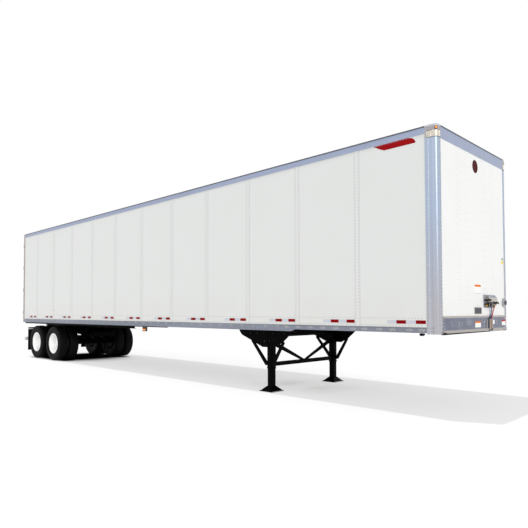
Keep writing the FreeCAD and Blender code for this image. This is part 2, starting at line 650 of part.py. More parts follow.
def hinge_straps():
    """A knuckle round each pin and a strap over the post and the door's face."""
    x, y = hinge_axis()
    outer = y - HINGE_RADIUS
    inner = outer - STRAP_LONG
    under = X(LENGTH) - STRAP_PAD
    straps = []
    for z in hinge_heights():
        low = z - STRAP_HIGH / 2.0
        strap_foot, pad_foot = V(under - STRAP_THICK, inner, low), V(under, inner, low)
        knuckle = Part.makeCylinder(HINGE_RADIUS, STRAP_HIGH, V(x, y, low))
        lead = Part.makeBox(under - x, STRAP_THICK, STRAP_HIGH, V(x, outer, low))
        strap = Part.makeBox(STRAP_THICK, STRAP_LONG + STRAP_THICK, STRAP_HIGH, strap_foot)
        pad = Part.makeBox(STRAP_PAD, DOORWAY_HALF - DOOR_GAP - inner, STRAP_HIGH, pad_foot)
        bore = Part.makeCylinder(PIN_RADIUS + PIN_CLEAR, STRAP_HIGH + 2.0, V(x, y, low - 1.0))
        straps.append(fuse([knuckle, lead, strap, pad]).cut(bore))
    return straps


def rear_door():
    """The road side leaf."""
    low, high = FLOOR_TOP + DOOR_GAP, REAR_HEADER_BOTTOM - DOOR_GAP
    return block((LENGTH - DOOR_THICK, LENGTH), (DOOR_GAP / 2.0, DOORWAY_HALF - DOOR_GAP), (low, high))


def lock_rod():
    """Upright rod with a cam at each end, three guides and a handle towards the hinge."""
    y, station, back = ROD_FROM_CENTRE, LENGTH + ROD_BACK, LENGTH + DOOR_GEAR_PROUD
    low, high = FLOOR_TOP - ROD_PAST_DOOR, REAR_HEADER_BOTTOM + ROD_PAST_DOOR
    cam_y, guide_y = (y - ROD_RADIUS, y + ROD_RADIUS), (y - GUIDE_HALF, y + GUIDE_HALF)
    middle, handle = (FLOOR_TOP + REAR_HEADER_BOTTOM) / 2.0, FLOOR_TOP + HANDLE_UP
    parts = [rod(V(X(station), y, low), V(X(station), y, high), ROD_RADIUS)]
    for z in (low, high - CAM_HIGH):
        parts.append(block((LENGTH + PRONG_CLEAR, station), cam_y, (z, z + CAM_HIGH)))
    for z in (FLOOR_TOP + GUIDE_UP, middle, REAR_HEADER_BOTTOM - GUIDE_DOWN):
        parts.append(block((LENGTH, station), guide_y, (z - GUIDE_HALF, z + GUIDE_HALF)))
    parts.append(block((station + ROD_RADIUS - 4.0, back), (y - HANDLE_HALF, y + HANDLE_LONG),
                       (handle - HANDLE_HALF, handle + HANDLE_HALF)))
    catch_y = (y + CATCH_AT - HANDLE_HALF, y + CATCH_AT + HANDLE_HALF)
    catch_z = (handle - 2.0 * HANDLE_HALF, handle + 2.0 * HANDLE_HALF)
    parts.append(block((LENGTH, back - 12.0), catch_y, catch_z))
    return fuse(parts)


def impact_guard():
    half = HALF - GUARD_INSET
    parts = [block((LENGTH - GUARD_DEEP, LENGTH), (-half, half), GUARD)]
    for y in (-GUARD_POST_Y, GUARD_POST_Y):
        parts.append(block((LENGTH - GUARD_DEEP, LENGTH - 10.0), (y - GUARD_POST_HALF, y + GUARD_POST_HALF),
                           (GUARD[1], RAIL_BOTTOM)))
    return fuse(parts)


# ---- landing gear ----------------------------------------------------------------------------------------

def square_tube(side, radius, bottom, top):
    tube = Part.makeBox(side, side, top - bottom, V(LEG_X - side / 2.0, LEG_Y - side / 2.0, bottom))
    upright = [e for e in tube.Edges if abs(e.Vertexes[0].Z - e.Vertexes[1].Z) > 1.0]
    return tube.makeFillet(radius, upright)


def leg_tube():
    """Outer leg, open below, with a collar round its foot."""
    inner_side = LEG_TUBE - 2.0 * LEG_WALL
    bore = square_tube(inner_side, LEG_RADIUS - LEG_WALL, LEG_BOTTOM - 5.0, LEG_TOP - 10.0)
    collar = square_tube(LEG_TUBE + 2.0 * LEG_WALL, LEG_RADIUS + LEG_WALL, LEG_BOTTOM, LEG_BOTTOM + 25.0)
    return fuse([square_tube(LEG_TUBE, LEG_RADIUS, LEG_BOTTOM, LEG_TOP), collar]).cut(bore)


def leg_foot():
    """Inner leg with its sand shoe: a flat plate under a pyramid."""
    side = LEG_TUBE - 2.0 * LEG_WALL - 2.0 * LEG_CLEAR
    inner = square_tube(side, LEG_RADIUS - LEG_WALL - LEG_CLEAR, SHOE_HIGH, LEG_TOP - INNER_LEG_DOWN)
    plate = Part.makeBox(SHOE, SHOE, SHOE_THICK, V(LEG_X - SHOE / 2.0, LEG_Y - SHOE / 2.0, 0.0))
    rims = []
    for half, z in ((SHOE / 2.0 - SHOE_THICK, SHOE_THICK), (side / 2.0 + 4.0, SHOE_HIGH)):
        turns = ((-1, -1), (1, -1), (1, 1), (-1, 1))
        corners = [V(LEG_X + i * half, LEG_Y + j * half, z) for i, j in turns]
        rims.append(Part.makePolygon(corners + [corners[0]]))
    return fuse([plate, Part.makeLoft(rims, True, True), inner])


def wing_plates():
    """Upright plates ahead of and behind the leg, with a mounting bar and a brace down to the leg."""
    parts = []
    outer = LEG_Y + LEG_TUBE / 2.0
    for rim, foot, side in ((REAR_WING, REAR_WING_FOOT, 1.0), (FRONT_WING, FRONT_WING_FOOT, -1.0)):
        face = LEG_STATION + side * LEG_TUBE / 2.0
        start = face - side * WING_LAP
        outline = [(LEG_STATION + s, LEG_TOP + z) for s, z in rim]
        outline = [(start, LEG_TOP)] + outline + [(start, LEG_TOP + foot)]
        parts.append(along_y(outline, (outer, outer + WING_THICK)))
        (s_high, z_high), low, high = outline[-3], LEG_BOTTOM + BRACE_FEET[0], LEG_BOTTOM + BRACE_FEET[1]
        brace = [(s_high - side * 18.0, z_high + 16.0), (s_high + side * 17.0, z_high - 9.0),
                 (face + side * 40.0, low), (face, low), (face, high)]
        parts.append(along_y(brace, (outer - BRACE_WIDE, outer)))
    span = (LEG_STATION + FRONT_WING[0][0], LEG_STATION + REAR_WING[0][0])
    parts.append(block(span, (LEG_Y - LEG_BAR_HALF, LEG_Y + LEG_BAR_HALF), (LEG_TOP, BEAM_UNDER)))
    return fuse(parts)


def cross_brace():
    """Bars between the legs: a lower angle, a V of braces and an upper member."""
    inner = LEG_Y - LEG_TUBE / 2.0
    span = (LEG_STATION - CROSS_HALF, LEG_STATION + CROSS_HALF)
    upper = (LEG_STATION - UPPER_AHEAD, LEG_STATION + CROSS_HALF)
    under_wings = LEG_Y - LEG_BAR_HALF - SEAT_GAP
    low, high = [LEG_BOTTOM + z for z in LOWER_BAR]
    parts = [
        block(span, (-inner, inner), (low, high)),
        block(upper, (-inner, inner), (LEG_TOP + UPPER_BAR_FOOT, LEG_TOP - SEAT_GAP)),
        block(upper, (-under_wings, under_wings), (LEG_TOP - SEAT_GAP, BEAM_UNDER - SEAT_GAP)),
    ]
    for side in (-1.0, 1.0):
        outline = [(side * inner, LEG_TOP + ARM_ENDS[1]), (side * inner, LEG_TOP + ARM_ENDS[0]),
                   (side * ARM_HALF, (low + high) / 2.0), (-side * ARM_HALF, high - 10.0)]
        points = [V(LEG_X - ARM_THICK / 2.0, y, z) for y, z in outline]
        parts.append(extrude(points, V(ARM_THICK, 0, 0)))
    return fuse(parts)


def landing_drive():
    """Cross shaft, gearbox on the road side leg and the stowed crank."""
    inner, outer = LEG_Y - LEG_TUBE / 2.0, LEG_Y + LEG_TUBE / 2.0 + WING_THICK
    half, wide, low, high = GEARBOX
    height, reach = LEG_TOP - CRANK_DOWN, outer + wide + 100.0
    span, arm_y, arm_foot = (LEG_STATION - half, LEG_STATION + half), reach - 12.0, height - CRANK_DROP
    shaft = rod_y(LEG_STATION - SHAFT_AHEAD, LEG_TOP - SHAFT_DOWN, (-inner, inner), SHAFT_RADIUS)
    box = block(span, (outer, outer + wide), (LEG_TOP + low, LEG_TOP + high))
    stub = rod_y(LEG_STATION, height, (outer + wide, reach), 13.0)
    arm = rod(V(LEG_X, arm_y, height), V(LEG_X - CRANK_LONG - 10.0, arm_y, arm_foot), 11.0)
    grip = rod_y(LEG_STATION + CRANK_LONG, arm_foot + 1.0, (reach - 130.0, reach - 10.0), 15.0)
    return [shaft, fuse([box, stub, arm, grip])]


# ---- bogie -----------------------------------------------------------------------------------------------

def slider_rail():
    """I-shaped rail under the crossmembers, along which the bogie slides."""
    y, w, web, flange = SPRING_Y, BODY_RAIL_HALF, BODY_RAIL_WEB / 2.0, BODY_RAIL_FLANGE
    top, under = BEAM_UNDER, BODY_RAIL_UNDER
    outline = [
        (y - w, under), (y + w, under), (y + w, under + flange), (y + web, under + flange),
        (y + web, top - flange), (y + w, top - flange), (y + w, top), (y - w, top), (y - w, top - flange),
        (y - web, top - flange), (y - web, under + flange), (y - w, under + flange),
    ]
    return along_x(outline, BODY_RAIL)


def hanger(station, top_half, foot_half, foot):
    """The two side plates of a spring hanger."""
    outline = [(station - top_half, BOGIE_UNDER), (station + top_half, BOGIE_UNDER),
               (station + foot_half, foot), (station - foot_half, foot)]
    plates = []
    for low in (SPRING_Y - HANGER_HALF - CHEEK, SPRING_Y + HANGER_HALF):
        plates.append(along_y(outline, (low, low + CHEEK)))
    return plates


def hold_down_clip(station):
    """Bent plate on the side member, hooked over the body rail's lower flange."""
    span = (station - CLIP_HALF, station + CLIP_HALF)
    inner = SPRING_Y + BODY_RAIL_HALF + CLIP_CLEAR
    low = BODY_RAIL_UNDER + BODY_RAIL_FLANGE + CLIP_CLEAR
    upright = block(span, (inner, inner + CLIP_THICK), (BOGIE_UNDER + 20.0, low + CLIP_THICK))
    hook = block(span, (inner - CLIP_CLEAR - CLIP_OVER, inner + CLIP_THICK), (low, low + CLIP_THICK))
    return [upright, hook]


def bogie_side():
    """Side member with hangers, hold-down clips and the bar that carries the mud flap."""
    half = BOGIE_RAIL_HALF
    across = (SPRING_Y - HANGER_HALF, SPRING_Y + HANGER_HALF)
    parts = [block(BOGIE, (SPRING_Y - half, SPRING_Y + half), (BOGIE_UNDER, BOGIE_TOP))]
    for station, top_half, foot_half, end in zip(HANGER_STATIONS, HANGER_TOPS, HANGER_FEET, HANGER_ENDS):
        parts += hanger(station, top_half, foot_half, ROD_PIN_Z + end)
    front, middle, rear = HANGER_STATIONS
    for station in (front, rear):
        span = (station - 40.0, station + 40.0)
        parts.append(block(span, across, (SPRING_END_TOP + SEAT_GAP, BOGIE_UNDER)))
    parts.append(rod_y(middle, PIVOT_Z, across, PIVOT_RADIUS))
    for station in (front, middle):
        parts.append(rod_y(station, ROD_PIN_Z, across, ROD_PIN_RADIUS))
    for station in (BOGIE[0] + 60.0, middle, BOGIE[1] - 80.0):
        parts += hold_down_clip(station)
    face = FLAP_STATION - FLAP_THICK / 2.0
    parts.append(block((face - FLAP_BAR[0], face), (SPRING_Y + half - 5.0, FLAP_OUT),
                       (FLAP_TOP - 10.0, FLAP_TOP - 10.0 + FLAP_BAR[1])))
    return parts


def bogie_frame():
    inner = SPRING_Y - BOGIE_RAIL_HALF
    parts = both_sides(bogie_side())
    for station, drop in zip(HANGER_STATIONS, BOGIE_CROSS_DROP):
        parts.append(block((station - BOGIE_CROSS_HALF, station + BOGIE_CROSS_HALF), (-inner, inner),
                           (BOGIE_UNDER + 10.0 - drop, BOGIE_TOP - 10.0)))
    return fuse(parts)


def mud_flap():
    face = FLAP_STATION - FLAP_THICK / 2.0
    return block((face, face + FLAP_THICK), (FLAP_OUT - FLAP_WIDE, FLAP_OUT), (FLAP_BOTTOM, FLAP_TOP))


def leaf_strip(station, inner_radius, half):
    """One leaf: a strip between two arcs about the spring's own axis."""
    edges = []
    ends = []
    for radius in (inner_radius, inner_radius + LEAF):
        low, mid, high = [V(X(station + s), SPRING_Y - SPRING_WIDE / 2.0,
                            SPRING_AXIS - math.sqrt(radius ** 2 - s ** 2)) for s in (-half, 0.0, half)]
        edges.append(Part.Arc(low, mid, high).toShape())
        ends.append((low, high))
    edges.append(Part.LineSegment(ends[0][0], ends[1][0]).toShape())
    edges.append(Part.LineSegment(ends[0][1], ends[1][1]).toShape())
    face = Part.Face(Part.Wire(Part.__sortEdges__(edges)))
    return face.extrude(V(0, SPRING_WIDE, 0))


def leaf_spring(station):
    leaves = []
    for i, share in enumerate(LEAF_SHARES):
        leaves.append(leaf_strip(station, SPRING_RADIUS + i * LEAF, SPRING_SPAN * share))
    return fuse(leaves)


def equalizer():
    """Rocker between the two springs, on the pivot of the middle hanger."""
    lap, end, crown, over = ROCKER
    low, top, reach = SPRING_END_TOP + SEAT_GAP, PIVOT_Z + over, SPRING_END_GAP + lap
    half = SPRING_WIDE / 2.0 - 2.0
    outline = [
        (-reach, low), (reach, low), (reach, low + end), (crown, top), (-crown, top), (-reach, low + end),
    ]
    rocker = along_y([(MID_BOGIE + s, z) for s, z in outline], (SPRING_Y - half, SPRING_Y + half))
    bore = rod_y(MID_BOGIE, PIVOT_Z, (SPRING_Y - half - 1.0, SPRING_Y + half + 1.0), PIVOT_RADIUS + PIN_CLEAR)
    return rocker.cut(bore)


def radius_rod(pin_station, axle_station):
    """Link from a hanger's pin to the front of the axle's seat."""
    eye_radius, eye_half = ROD_EYE
    thick, foot_half, low, high = ROD_FOOT
    face = axle_station - SEAT_HALF[0] - SEAT_GAP
    eye = rod_y(pin_station, ROD_PIN_Z, (SPRING_Y - eye_half, SPRING_Y + eye_half), eye_radius)
    bore = rod_y(pin_station, ROD_PIN_Z, (SPRING_Y - eye_half - 1.0, SPRING_Y + eye_half + 1.0),
                 ROD_PIN_RADIUS + PIN_CLEAR)
    foot_middle = V(X(face - 4.0), SPRING_Y, TYRE_RADIUS + (low + high) / 2.0)
    bar = rod(V(X(pin_station + 16.0), SPRING_Y, ROD_PIN_Z - 3.0), foot_middle, ROD_BAR_RADIUS)
    foot = block((face - thick, face), (SPRING_Y - foot_half, SPRING_Y + foot_half),
                 (TYRE_RADIUS + low, TYRE_RADIUS + high))
    return fuse([eye, bar, foot]).cut(bore)


def axle(station):
    """Axle tube, spindles, spring seats, dust shields, cam tubes and brake chamber brackets."""
    z, along, across = TYRE_RADIUS, *SEAT_HALF
    tube_end, spindle_end = MOUNT_Y - AXLE_TUBE_END, MOUNT_Y + SPINDLE_END
    drum_end, can_y = MOUNT_Y - DRUM_WIDE, SPRING_Y - CAN_FROM_SPRING
    cam_block = SPRING_Y - across - 59.0
    seat_y, can_span = (SPRING_Y - across, SPRING_Y + across), (can_y - 60.0, can_y + 60.0)
    parts = [rod_y(station, z, (-tube_end, tube_end), AXLE_TUBE),
             rod_y(station, z, (-spindle_end, spindle_end), SPINDLE)]
    side = [
        block((station - along, station + along), seat_y, (z - 40.0, SEAT_TOP)),
        block((station + 50.0, station + CAN_FRONT), can_span, (z - 20.0, z + 2.0 * CAN_UP)),
        block((station + 85.0, station + 125.0), (cam_block, cam_block + 20.0), (z - 25.0, z + 100.0)),
        rod_y(station + CAM_BEHIND, z, (cam_block, drum_end + 7.0), CAM_TUBE),
        rod_y(station, z, (drum_end + SHIELD[0], drum_end + SHIELD[1]), DRUM_RADIUS - SHIELD_DOWN),
    ]
    return fuse(parts + both_sides(side))


def brake_chamber(station):
    """The road side can, on the axle's bracket."""
    start = V(X(station + CAN_FRONT + SEAT_GAP), SPRING_Y - CAN_FROM_SPRING, TYRE_RADIUS + CAN_UP)
    can = Part.makeCylinder(CAN_RADIUS, CAN_LONG, start, V(-1, 0, 0))
    band = Part.makeCylinder(CAN_BAND[0], CAN_BAND[1], start.add(V(-80.0, 0, 0)), V(-1, 0, 0))
    return fuse([can, band])


def air_tank():
    """Tank across the front of the bogie, on two straps."""
    station, z = BOGIE[0] - 20.0, BOGIE_UNDER + 30.0 - TANK_RADIUS
    tank = rod_y(station, z, (-TANK_HALF, TANK_HALF), TANK_RADIUS)
    rims = [e for e in tank.Edges if e.Length > 300.0 and abs(abs(e.BoundBox.Center.y) - TANK_HALF) < 1.0]
    parts = [tank.makeFillet(TANK_ROUND, rims)]
    cross_front = HANGER_STATIONS[0] - BOGIE_CROSS_HALF
    for y in (140.0 - TANK_HALF, TANK_HALF - 140.0):
        parts.append(block((station - 20.0, cross_front + 60.0), (y - TANK_STRAP, y + TANK_STRAP),
                           (BOGIE_UNDER + 5.0, BOGIE_UNDER + 9.7)))
    return fuse(parts)


def tyre_pair(station):
    """The two tyres of a dual wheel, on the road side."""
    tyres = []
    half, outer = TYRE_WIDE / 2.0, TYRE_RADIUS
    bead, flank = RIM_HALF - RIM_EDGE - 0.5, RIM_RADIUS + (TYRE_RADIUS - RIM_RADIUS) * FLANK_SHARE
    for c in (MOUNT_Y - DUAL_SPACING / 2.0, MOUNT_Y + DUAL_SPACING / 2.0):
        profile = [
            (c - bead, RIM_RADIUS), (c - bead, RIM_RADIUS + RIM_LIP + 1.0),
            (c - bead - 12.0, RIM_RADIUS + BEAD_HIGH),
            (c - half, flank, c - half + SHOULDER[0], outer - SHOULDER[1]),
            (c - half + TREAD_EDGE[0], outer - TREAD_EDGE[1]),
            (c, outer, c + half - TREAD_EDGE[0], outer - TREAD_EDGE[1]),
            (c + half - SHOULDER[0], outer - SHOULDER[1]),
            (c + half, flank, c + bead + 12.0, RIM_RADIUS + BEAD_HIGH),
            (c + bead, RIM_RADIUS + RIM_LIP + 1.0), (c + bead, RIM_RADIUS),
        ]
        tyres.append(turned(profile, station, TYRE_RADIUS))
    return tyres


def disc_wheel(station, centre, out):
    """A disc wheel whose dish reaches from its barrel to the mounting plane, towards out (-1 or 1)."""
    lip, inside, half, edge = RIM_RADIUS + RIM_LIP, RIM_RADIUS - RIM_WALL, RIM_HALF, RIM_HALF - RIM_EDGE
    reach = DUAL_SPACING / 2.0
    steps = [
        (-half, lip), (-half, inside), (DISH[0], inside), (reach - DISC, DISC_FLAT[0]), (reach - DISC, PILOT),
        (reach, PILOT), (reach, DISC_FLAT[1]), (DISH[1], inside), (half, inside), (half, lip), (edge, lip),
        (edge, RIM_RADIUS), (-edge, RIM_RADIUS), (-edge, lip),
    ]
    wheel = turned([(centre + out * dy, radius) for dy, radius in steps], station, TYRE_RADIUS)
    circle = (inside + DISC_FLAT[0] - 5.0) / 2.0
    holes = []
    for i in range(HAND_HOLES):
        angle = 2.0 * math.pi * i / HAND_HOLES
        along, up = circle * math.cos(angle), circle * math.sin(angle)
        start = V(X(station) + along, centre - reach, TYRE_RADIUS + up)
        holes.append(Part.makeCylinder(HAND_HOLE_RADIUS, 2.0 * reach, start, V(0, 1, 0)))
    return wheel.cut(holes)


def wheel_pair(station):
    inner, outer = MOUNT_Y - DUAL_SPACING / 2.0, MOUNT_Y + DUAL_SPACING / 2.0
    return [disc_wheel(station, inner, 1.0), disc_wheel(station, outer, -1.0)]


def hub(station):
    """Hub and brake drum: the drum opens inboard, the hub's nose passes through both discs."""
    m, d, bore, nose = MOUNT_Y, DRUM_RADIUS, SPINDLE + BEARING_CLEAR, PILOT - PILOT_CLEAR
    end = m + HUB_NOSE[-1][0]
    profile = [(m - DRUM_WIDE, d - DRUM_WALL), (m - DRUM_WIDE, d)]
    profile += [(m - inboard, d - down) for inboard, down in DRUM_HEAD]
    profile += [(m - DISC, HUB_FLANGE), (m - DISC, nose), (m + 2.0 * DISC + 2.0, nose)]
    profile += [(m + out, radius) for out, radius in HUB_NOSE]
    profile += [(end, 0.0), (end - HUB_CAP, 0.0), (end - HUB_CAP, bore), (m - HUB_INNER, bore),
                (m - HUB_INNER, d - DRUM_WALL)]
    return turned(profile, station, TYRE_RADIUS)


# ---- nose equipment and lamps ----------------------------------------------------------------------------

def nose_box():
    """Connector plate with a hood over the electric socket."""
    under = HOOD[-1][1]
    outline = list(HOOD) + [(HOOD_BACK, under), (HOOD_BACK, HOOD_FOOT), (BOX_THICK, HOOD_FOOT)]
    side = [V(NOSE + ahead, HOOD_Y[0], FLOOR_TOP + up) for ahead, up in outline]
    hood = extrude(side, V(0, HOOD_Y[1] - HOOD_Y[0], 0))
    plate = block((-BOX_THICK, RAIL_LAP), BOX_Y, (FLOOR_TOP + BOX_HEIGHTS[0], FLOOR_TOP + BOX_HEIGHTS[1]))
    y, up, radius, ahead = SOCKET
    socket = Part.makeCylinder(radius, ahead, V(NOSE, y, FLOOR_TOP + up), V(1, 0, 0))
    return fuse([plate, hood, socket])


def gladhands():
    """Air couplings: one beside the hood, one under its front edge."""
    hands = []
    for y, top, start in (SERVICE_HAND, SUPPLY_HAND):
        z, face = FLOOR_TOP + top, NOSE_PROUD - GLADHAND_RADIUS
        stem = Part.makeCylinder(12.0, face - start, V(NOSE + start, y, z - 12.0), V(1, 0, 0))
        head = Part.makeCylinder(GLADHAND_RADIUS, 24.0, V(NOSE + face, y, z - 24.0), V(0, 0, 1))
        pad = Part.makeBox(42.0, 36.0, 26.0, V(NOSE + face - 33.0, y - 18.0, z - 24.0))
        hands.append(fuse([stem, head, pad]))
    return hands


def bent_tube(points, radius):
    """A tube along straight runs joined by tangent arcs, each as large as its two runs allow."""
    edges = []
    start = points[0]
    for before, corner, after in zip(points, points[1:], points[2:]):
        into, out = corner.sub(before), after.sub(corner)
        cut = 0.45 * min(into.Length, out.Length)
        into.normalize()
        out.normalize()
        a, b = corner.sub(into * cut), corner.add(out * cut)
        turn = into.getAngle(out)
        bend = cut / math.tan(turn / 2.0)
        inward = out.sub(into)
        inward.normalize()
        middle = corner.add(inward * (bend / math.cos(turn / 2.0) - bend))
        edges += [Part.LineSegment(start, a).toShape(), Part.Arc(a, middle, b).toShape()]
        start = b
    edges.append(Part.LineSegment(start, points[-1]).toShape())
    path = Part.Wire(edges)
    section = Part.Wire(Part.makeCircle(radius, points[0], points[1].sub(points[0])))
    return path.makePipeShell([section], True, True)


def air_lines():
    """Three lines from under the hood down to the channel, cut level at both ends."""
    lines = []
    top, foot, x = FLOOR_TOP + HOOD_FOOT - SEAT_GAP, SILL_TOP - CHANNEL_DOWN, NOSE + LINE_AHEAD
    room = block((-2.0 * LINE_AHEAD, 0.0), BOX_Y, (foot, top))
    for y_top, y_middle, y_foot in LINES:
        middle = V(x, y_middle, (top + foot) / 2.0)
        runs = [V(x, y, z).sub(middle) for y, z in ((y_top, top), (y_foot, foot))]
        points = [middle.add(run * (1.0 + LINE_RADIUS / run.Length)) for run in runs]
        points.insert(1, middle)
        lines.append(bent_tube(points, LINE_RADIUS).common(room).Solids[0])
    return lines


def line_channel():
    return block((-CHANNEL_PROUD, 0.0), CHANNEL_Y, (SILL_BOTTOM + 10.0, SILL_TOP - CHANNEL_DOWN - SEAT_GAP))


def front_vent():
    start, end, low, high, proud = VENT
    return block((-proud, RAIL_LAP), (start, end), (FLOOR_TOP + low, FLOOR_TOP + high))


def document_holder():
    """Round flanged canister on a foot, facing forward beside the road side corner post."""
    y, z = HALF - HOLDER_INSET, FLOOR_TOP + HOLDER_HEIGHT
    foot = Part.makeCylinder(HOLDER_FOOT, RAIL_LAP + HOLDER_FLANGE[1], V(NOSE - RAIL_LAP, y, z), V(1, 0, 0))
    shells = [Part.makeCylinder(radius, ahead - SEAT_GAP, V(NOSE + SEAT_GAP, y, z), V(1, 0, 0))
              for radius, ahead in (HOLDER_FLANGE, HOLDER_BOSS)]
    return fuse([foot] + shells)


def side_marker():
    """Lamp on a bracket under the middle of the bottom rail."""
    middle = LENGTH / 2.0 - MARKER_AHEAD
    shapes = []
    for half, inner, outer, low, high in MARKER:
        shapes.append(block((middle - half, middle + half), (HALF - inner, HALF - outer),
                            (RAIL_BOTTOM - low, RAIL_BOTTOM - high)))
    return fuse(shapes)


def tail_lamps():
    """Stop and turn lamps in the rear sill, outboard of the lock rods."""
    z = FLOOR_TOP - TAIL_LAMP_DOWN
    return [Part.makeCylinder(TAIL_LAMP_RADIUS, TAIL_LAMP_PROUD, V(REAR, HALF - inset, z), V(-1, 0, 0))
            for inset in TAIL_LAMPS]


# ---- build -----------------------------------------------------------------------------------------------

def wheel_nodes():
    """Tyres, disc wheels and hub of each corner, under the corner's own name."""
    nodes = {}
    for axle_name, station in zip(("front", "rear"), AXLE_STATIONS):
        left = {"tyres": tyre_pair(station), "wheels": wheel_pair(station), "hub": [hub(station)]}
        for kind, solids in left.items():
            nodes[f"{kind}_{axle_name}_left"] = solids
            nodes[f"{kind}_{axle_name}_right"] = [mirrored(s) for s in solids]
    return nodes


def build():
    nodes = {
        "side_wall_left": side_wall(),
        "side_wall_right": [mirrored(s) for s in side_wall()],
        "wall_seam_strips": both_sides(seam_strips()),
        "top_rails": both_sides([top_rail()]),
        "bottom_rails": both_sides([bottom_rail()]),
        "front_corner_posts": both_sides([corner_post()]),
        "front_corner_caps": both_sides([corner_cap()]),
        "front_wall": [front_wall()],
        "front_header": [front_header()],
        "front_sill": [front_sill()],
        "roof_sheet": [roof_sheet()],
        "roof_bows": roof_bows(),
        "floor": [floor()],
        "crossmembers": crossmembers(),
        "coupler_plate": [coupler()],
        "kingpin": [kingpin()],
        "rear_frame": [rear_frame()],
        "rear_door_left": [rear_door()],
        "rear_door_right": [mirrored(rear_door())],
        "hinge_straps_left": hinge_straps(),
        "hinge_straps_right": [mirrored(s) for s in hinge_straps()],
        "lock_rod_left": [lock_rod()],
        "lock_rod_right": [mirrored(lock_rod())],
        "hinge_butts": both_sides(hinge_butts()),
        "impact_guard": [impact_guard()],
        "landing_leg_tubes": both_sides([leg_tube()]),
        "landing_feet": both_sides([leg_foot()]),
        "landing_wing_plates": both_sides([wing_plates()]),
        "landing_cross_brace": [cross_brace()],
        "landing_drive": landing_drive(),
        "slider_rails": both_sides([slider_rail()]),
        "bogie_frame": [bogie_frame()],
        "mud_flaps": both_sides([mud_flap()]),
        "leaf_springs": both_sides([leaf_spring(s) for s in AXLE_STATIONS]),
        "equalizers": both_sides([equalizer()]),
        "radius_rods": both_sides([radius_rod(*ends) for ends in zip(HANGER_STATIONS, AXLE_STATIONS)]),
        "axles": [axle(s) for s in AXLE_STATIONS],
        "brake_chambers": both_sides([brake_chamber(s) for s in AXLE_STATIONS]),
        "air_tank": [air_tank()],
        "nose_box": [nose_box()],
        "gladhands": gladhands(),
        "air_lines": air_lines(),
        "line_channel": [line_channel()],
        "front_vent": [front_vent()],
        "document_holder": [document_holder()],
        "side_marker_lamps": both_sides([side_marker()]),
        "tail_lamps": both_sides(tail_lamps()),
    }
    nodes.update(wheel_nodes())
    return nodes


os.makedirs("parts", exist_ok=True)
for node_name, node_solids in build().items():
    save(node_name, node_solids)
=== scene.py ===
"""Looks of the dry van semi trailer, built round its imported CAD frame.

Metres in the CAD frame: +X to the nose, +Y to the road side, +Z up.
"""

import json
from itertools import product
from math import cos, pi, radians, sin

import bpy
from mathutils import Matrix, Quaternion, Vector


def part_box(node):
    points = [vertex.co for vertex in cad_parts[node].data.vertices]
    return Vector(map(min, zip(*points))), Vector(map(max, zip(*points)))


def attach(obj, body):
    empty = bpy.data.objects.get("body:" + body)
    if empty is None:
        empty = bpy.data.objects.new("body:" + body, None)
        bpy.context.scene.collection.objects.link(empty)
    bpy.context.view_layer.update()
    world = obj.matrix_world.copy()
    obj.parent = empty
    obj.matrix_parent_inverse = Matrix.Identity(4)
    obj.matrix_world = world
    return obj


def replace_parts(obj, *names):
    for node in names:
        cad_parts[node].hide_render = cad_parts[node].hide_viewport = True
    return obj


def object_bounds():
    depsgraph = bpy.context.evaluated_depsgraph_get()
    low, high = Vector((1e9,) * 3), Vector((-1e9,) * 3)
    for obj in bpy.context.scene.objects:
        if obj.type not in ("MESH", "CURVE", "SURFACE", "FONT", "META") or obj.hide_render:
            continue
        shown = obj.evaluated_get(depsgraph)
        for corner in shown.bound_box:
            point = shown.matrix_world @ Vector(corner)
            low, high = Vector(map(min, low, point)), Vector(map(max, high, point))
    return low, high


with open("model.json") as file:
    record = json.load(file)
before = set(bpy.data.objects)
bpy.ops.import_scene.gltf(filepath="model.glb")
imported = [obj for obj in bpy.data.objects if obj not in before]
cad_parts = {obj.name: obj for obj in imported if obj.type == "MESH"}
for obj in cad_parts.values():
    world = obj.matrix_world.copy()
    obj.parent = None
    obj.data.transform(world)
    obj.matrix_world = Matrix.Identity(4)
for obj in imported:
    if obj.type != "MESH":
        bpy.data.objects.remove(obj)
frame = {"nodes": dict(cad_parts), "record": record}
cad_low, cad_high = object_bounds()

NODES = frame["nodes"]
BOX = {name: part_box(name) for name in NODES}
SIDES = (-1, 1)
AHEAD, BACK, OUT, IN, UP, DOWN = (1, 0, 0), (-1, 0, 0), (0, 1, 0), (0, -1, 0), (0, 0, 1), (0, 0, -1)


def low(node):
    return BOX[node][0]


def high(node):
    return BOX[node][1]


# ---- places: what the frame says, and the small sizes that looks share -----------------------------------

NOSE = high("front_sill").x
HALF = high("top_rails").y
WALL = high("side_wall_left").y
STRIP = high("wall_seam_strips").y
FRONT_WALL = high("front_wall").x
TOP = cad_high.z
FLOOR_TOP = high("floor").z
PANEL = 1.2192
SEAM_HALF = 0.0435
FIRST_SEAM = high("wall_seam_strips").x - SEAM_HALF
LAST_SEAM = low("wall_seam_strips").x + SEAM_HALF
SEAMS = [FIRST_SEAM - PANEL * i for i in range(1 + round((FIRST_SEAM - LAST_SEAM) / PANEL))]
POST_END = low("front_corner_posts").x      # rear edge of the corner posts' side flange
POST_ROUND = 0.062
RAIL_HEAD = low("wall_seam_strips").z       # top of the bottom rails' outer face
RAIL_SHALLOW = 1.185        # under the bottom rails, ahead of the landing gear
RAIL_STEP = 4.5935          # where the bottom rails begin to slant up to it
CROSSMEMBER_PITCH = 0.3048
RIVET_PITCH = 0.0508
RIVET, WALL_RIVET, SILL_RIVET, POST_RIVET = 0.0055, 0.007, 0.0075, 0.0095     # radii of rivet heads
DOOR_BOLT, LANDING_BOLT = 0.0085, 0.012
TAPE_FOOT, TAPE_TOP, TAPE_BLOCK = 1.314, 1.365, 0.153
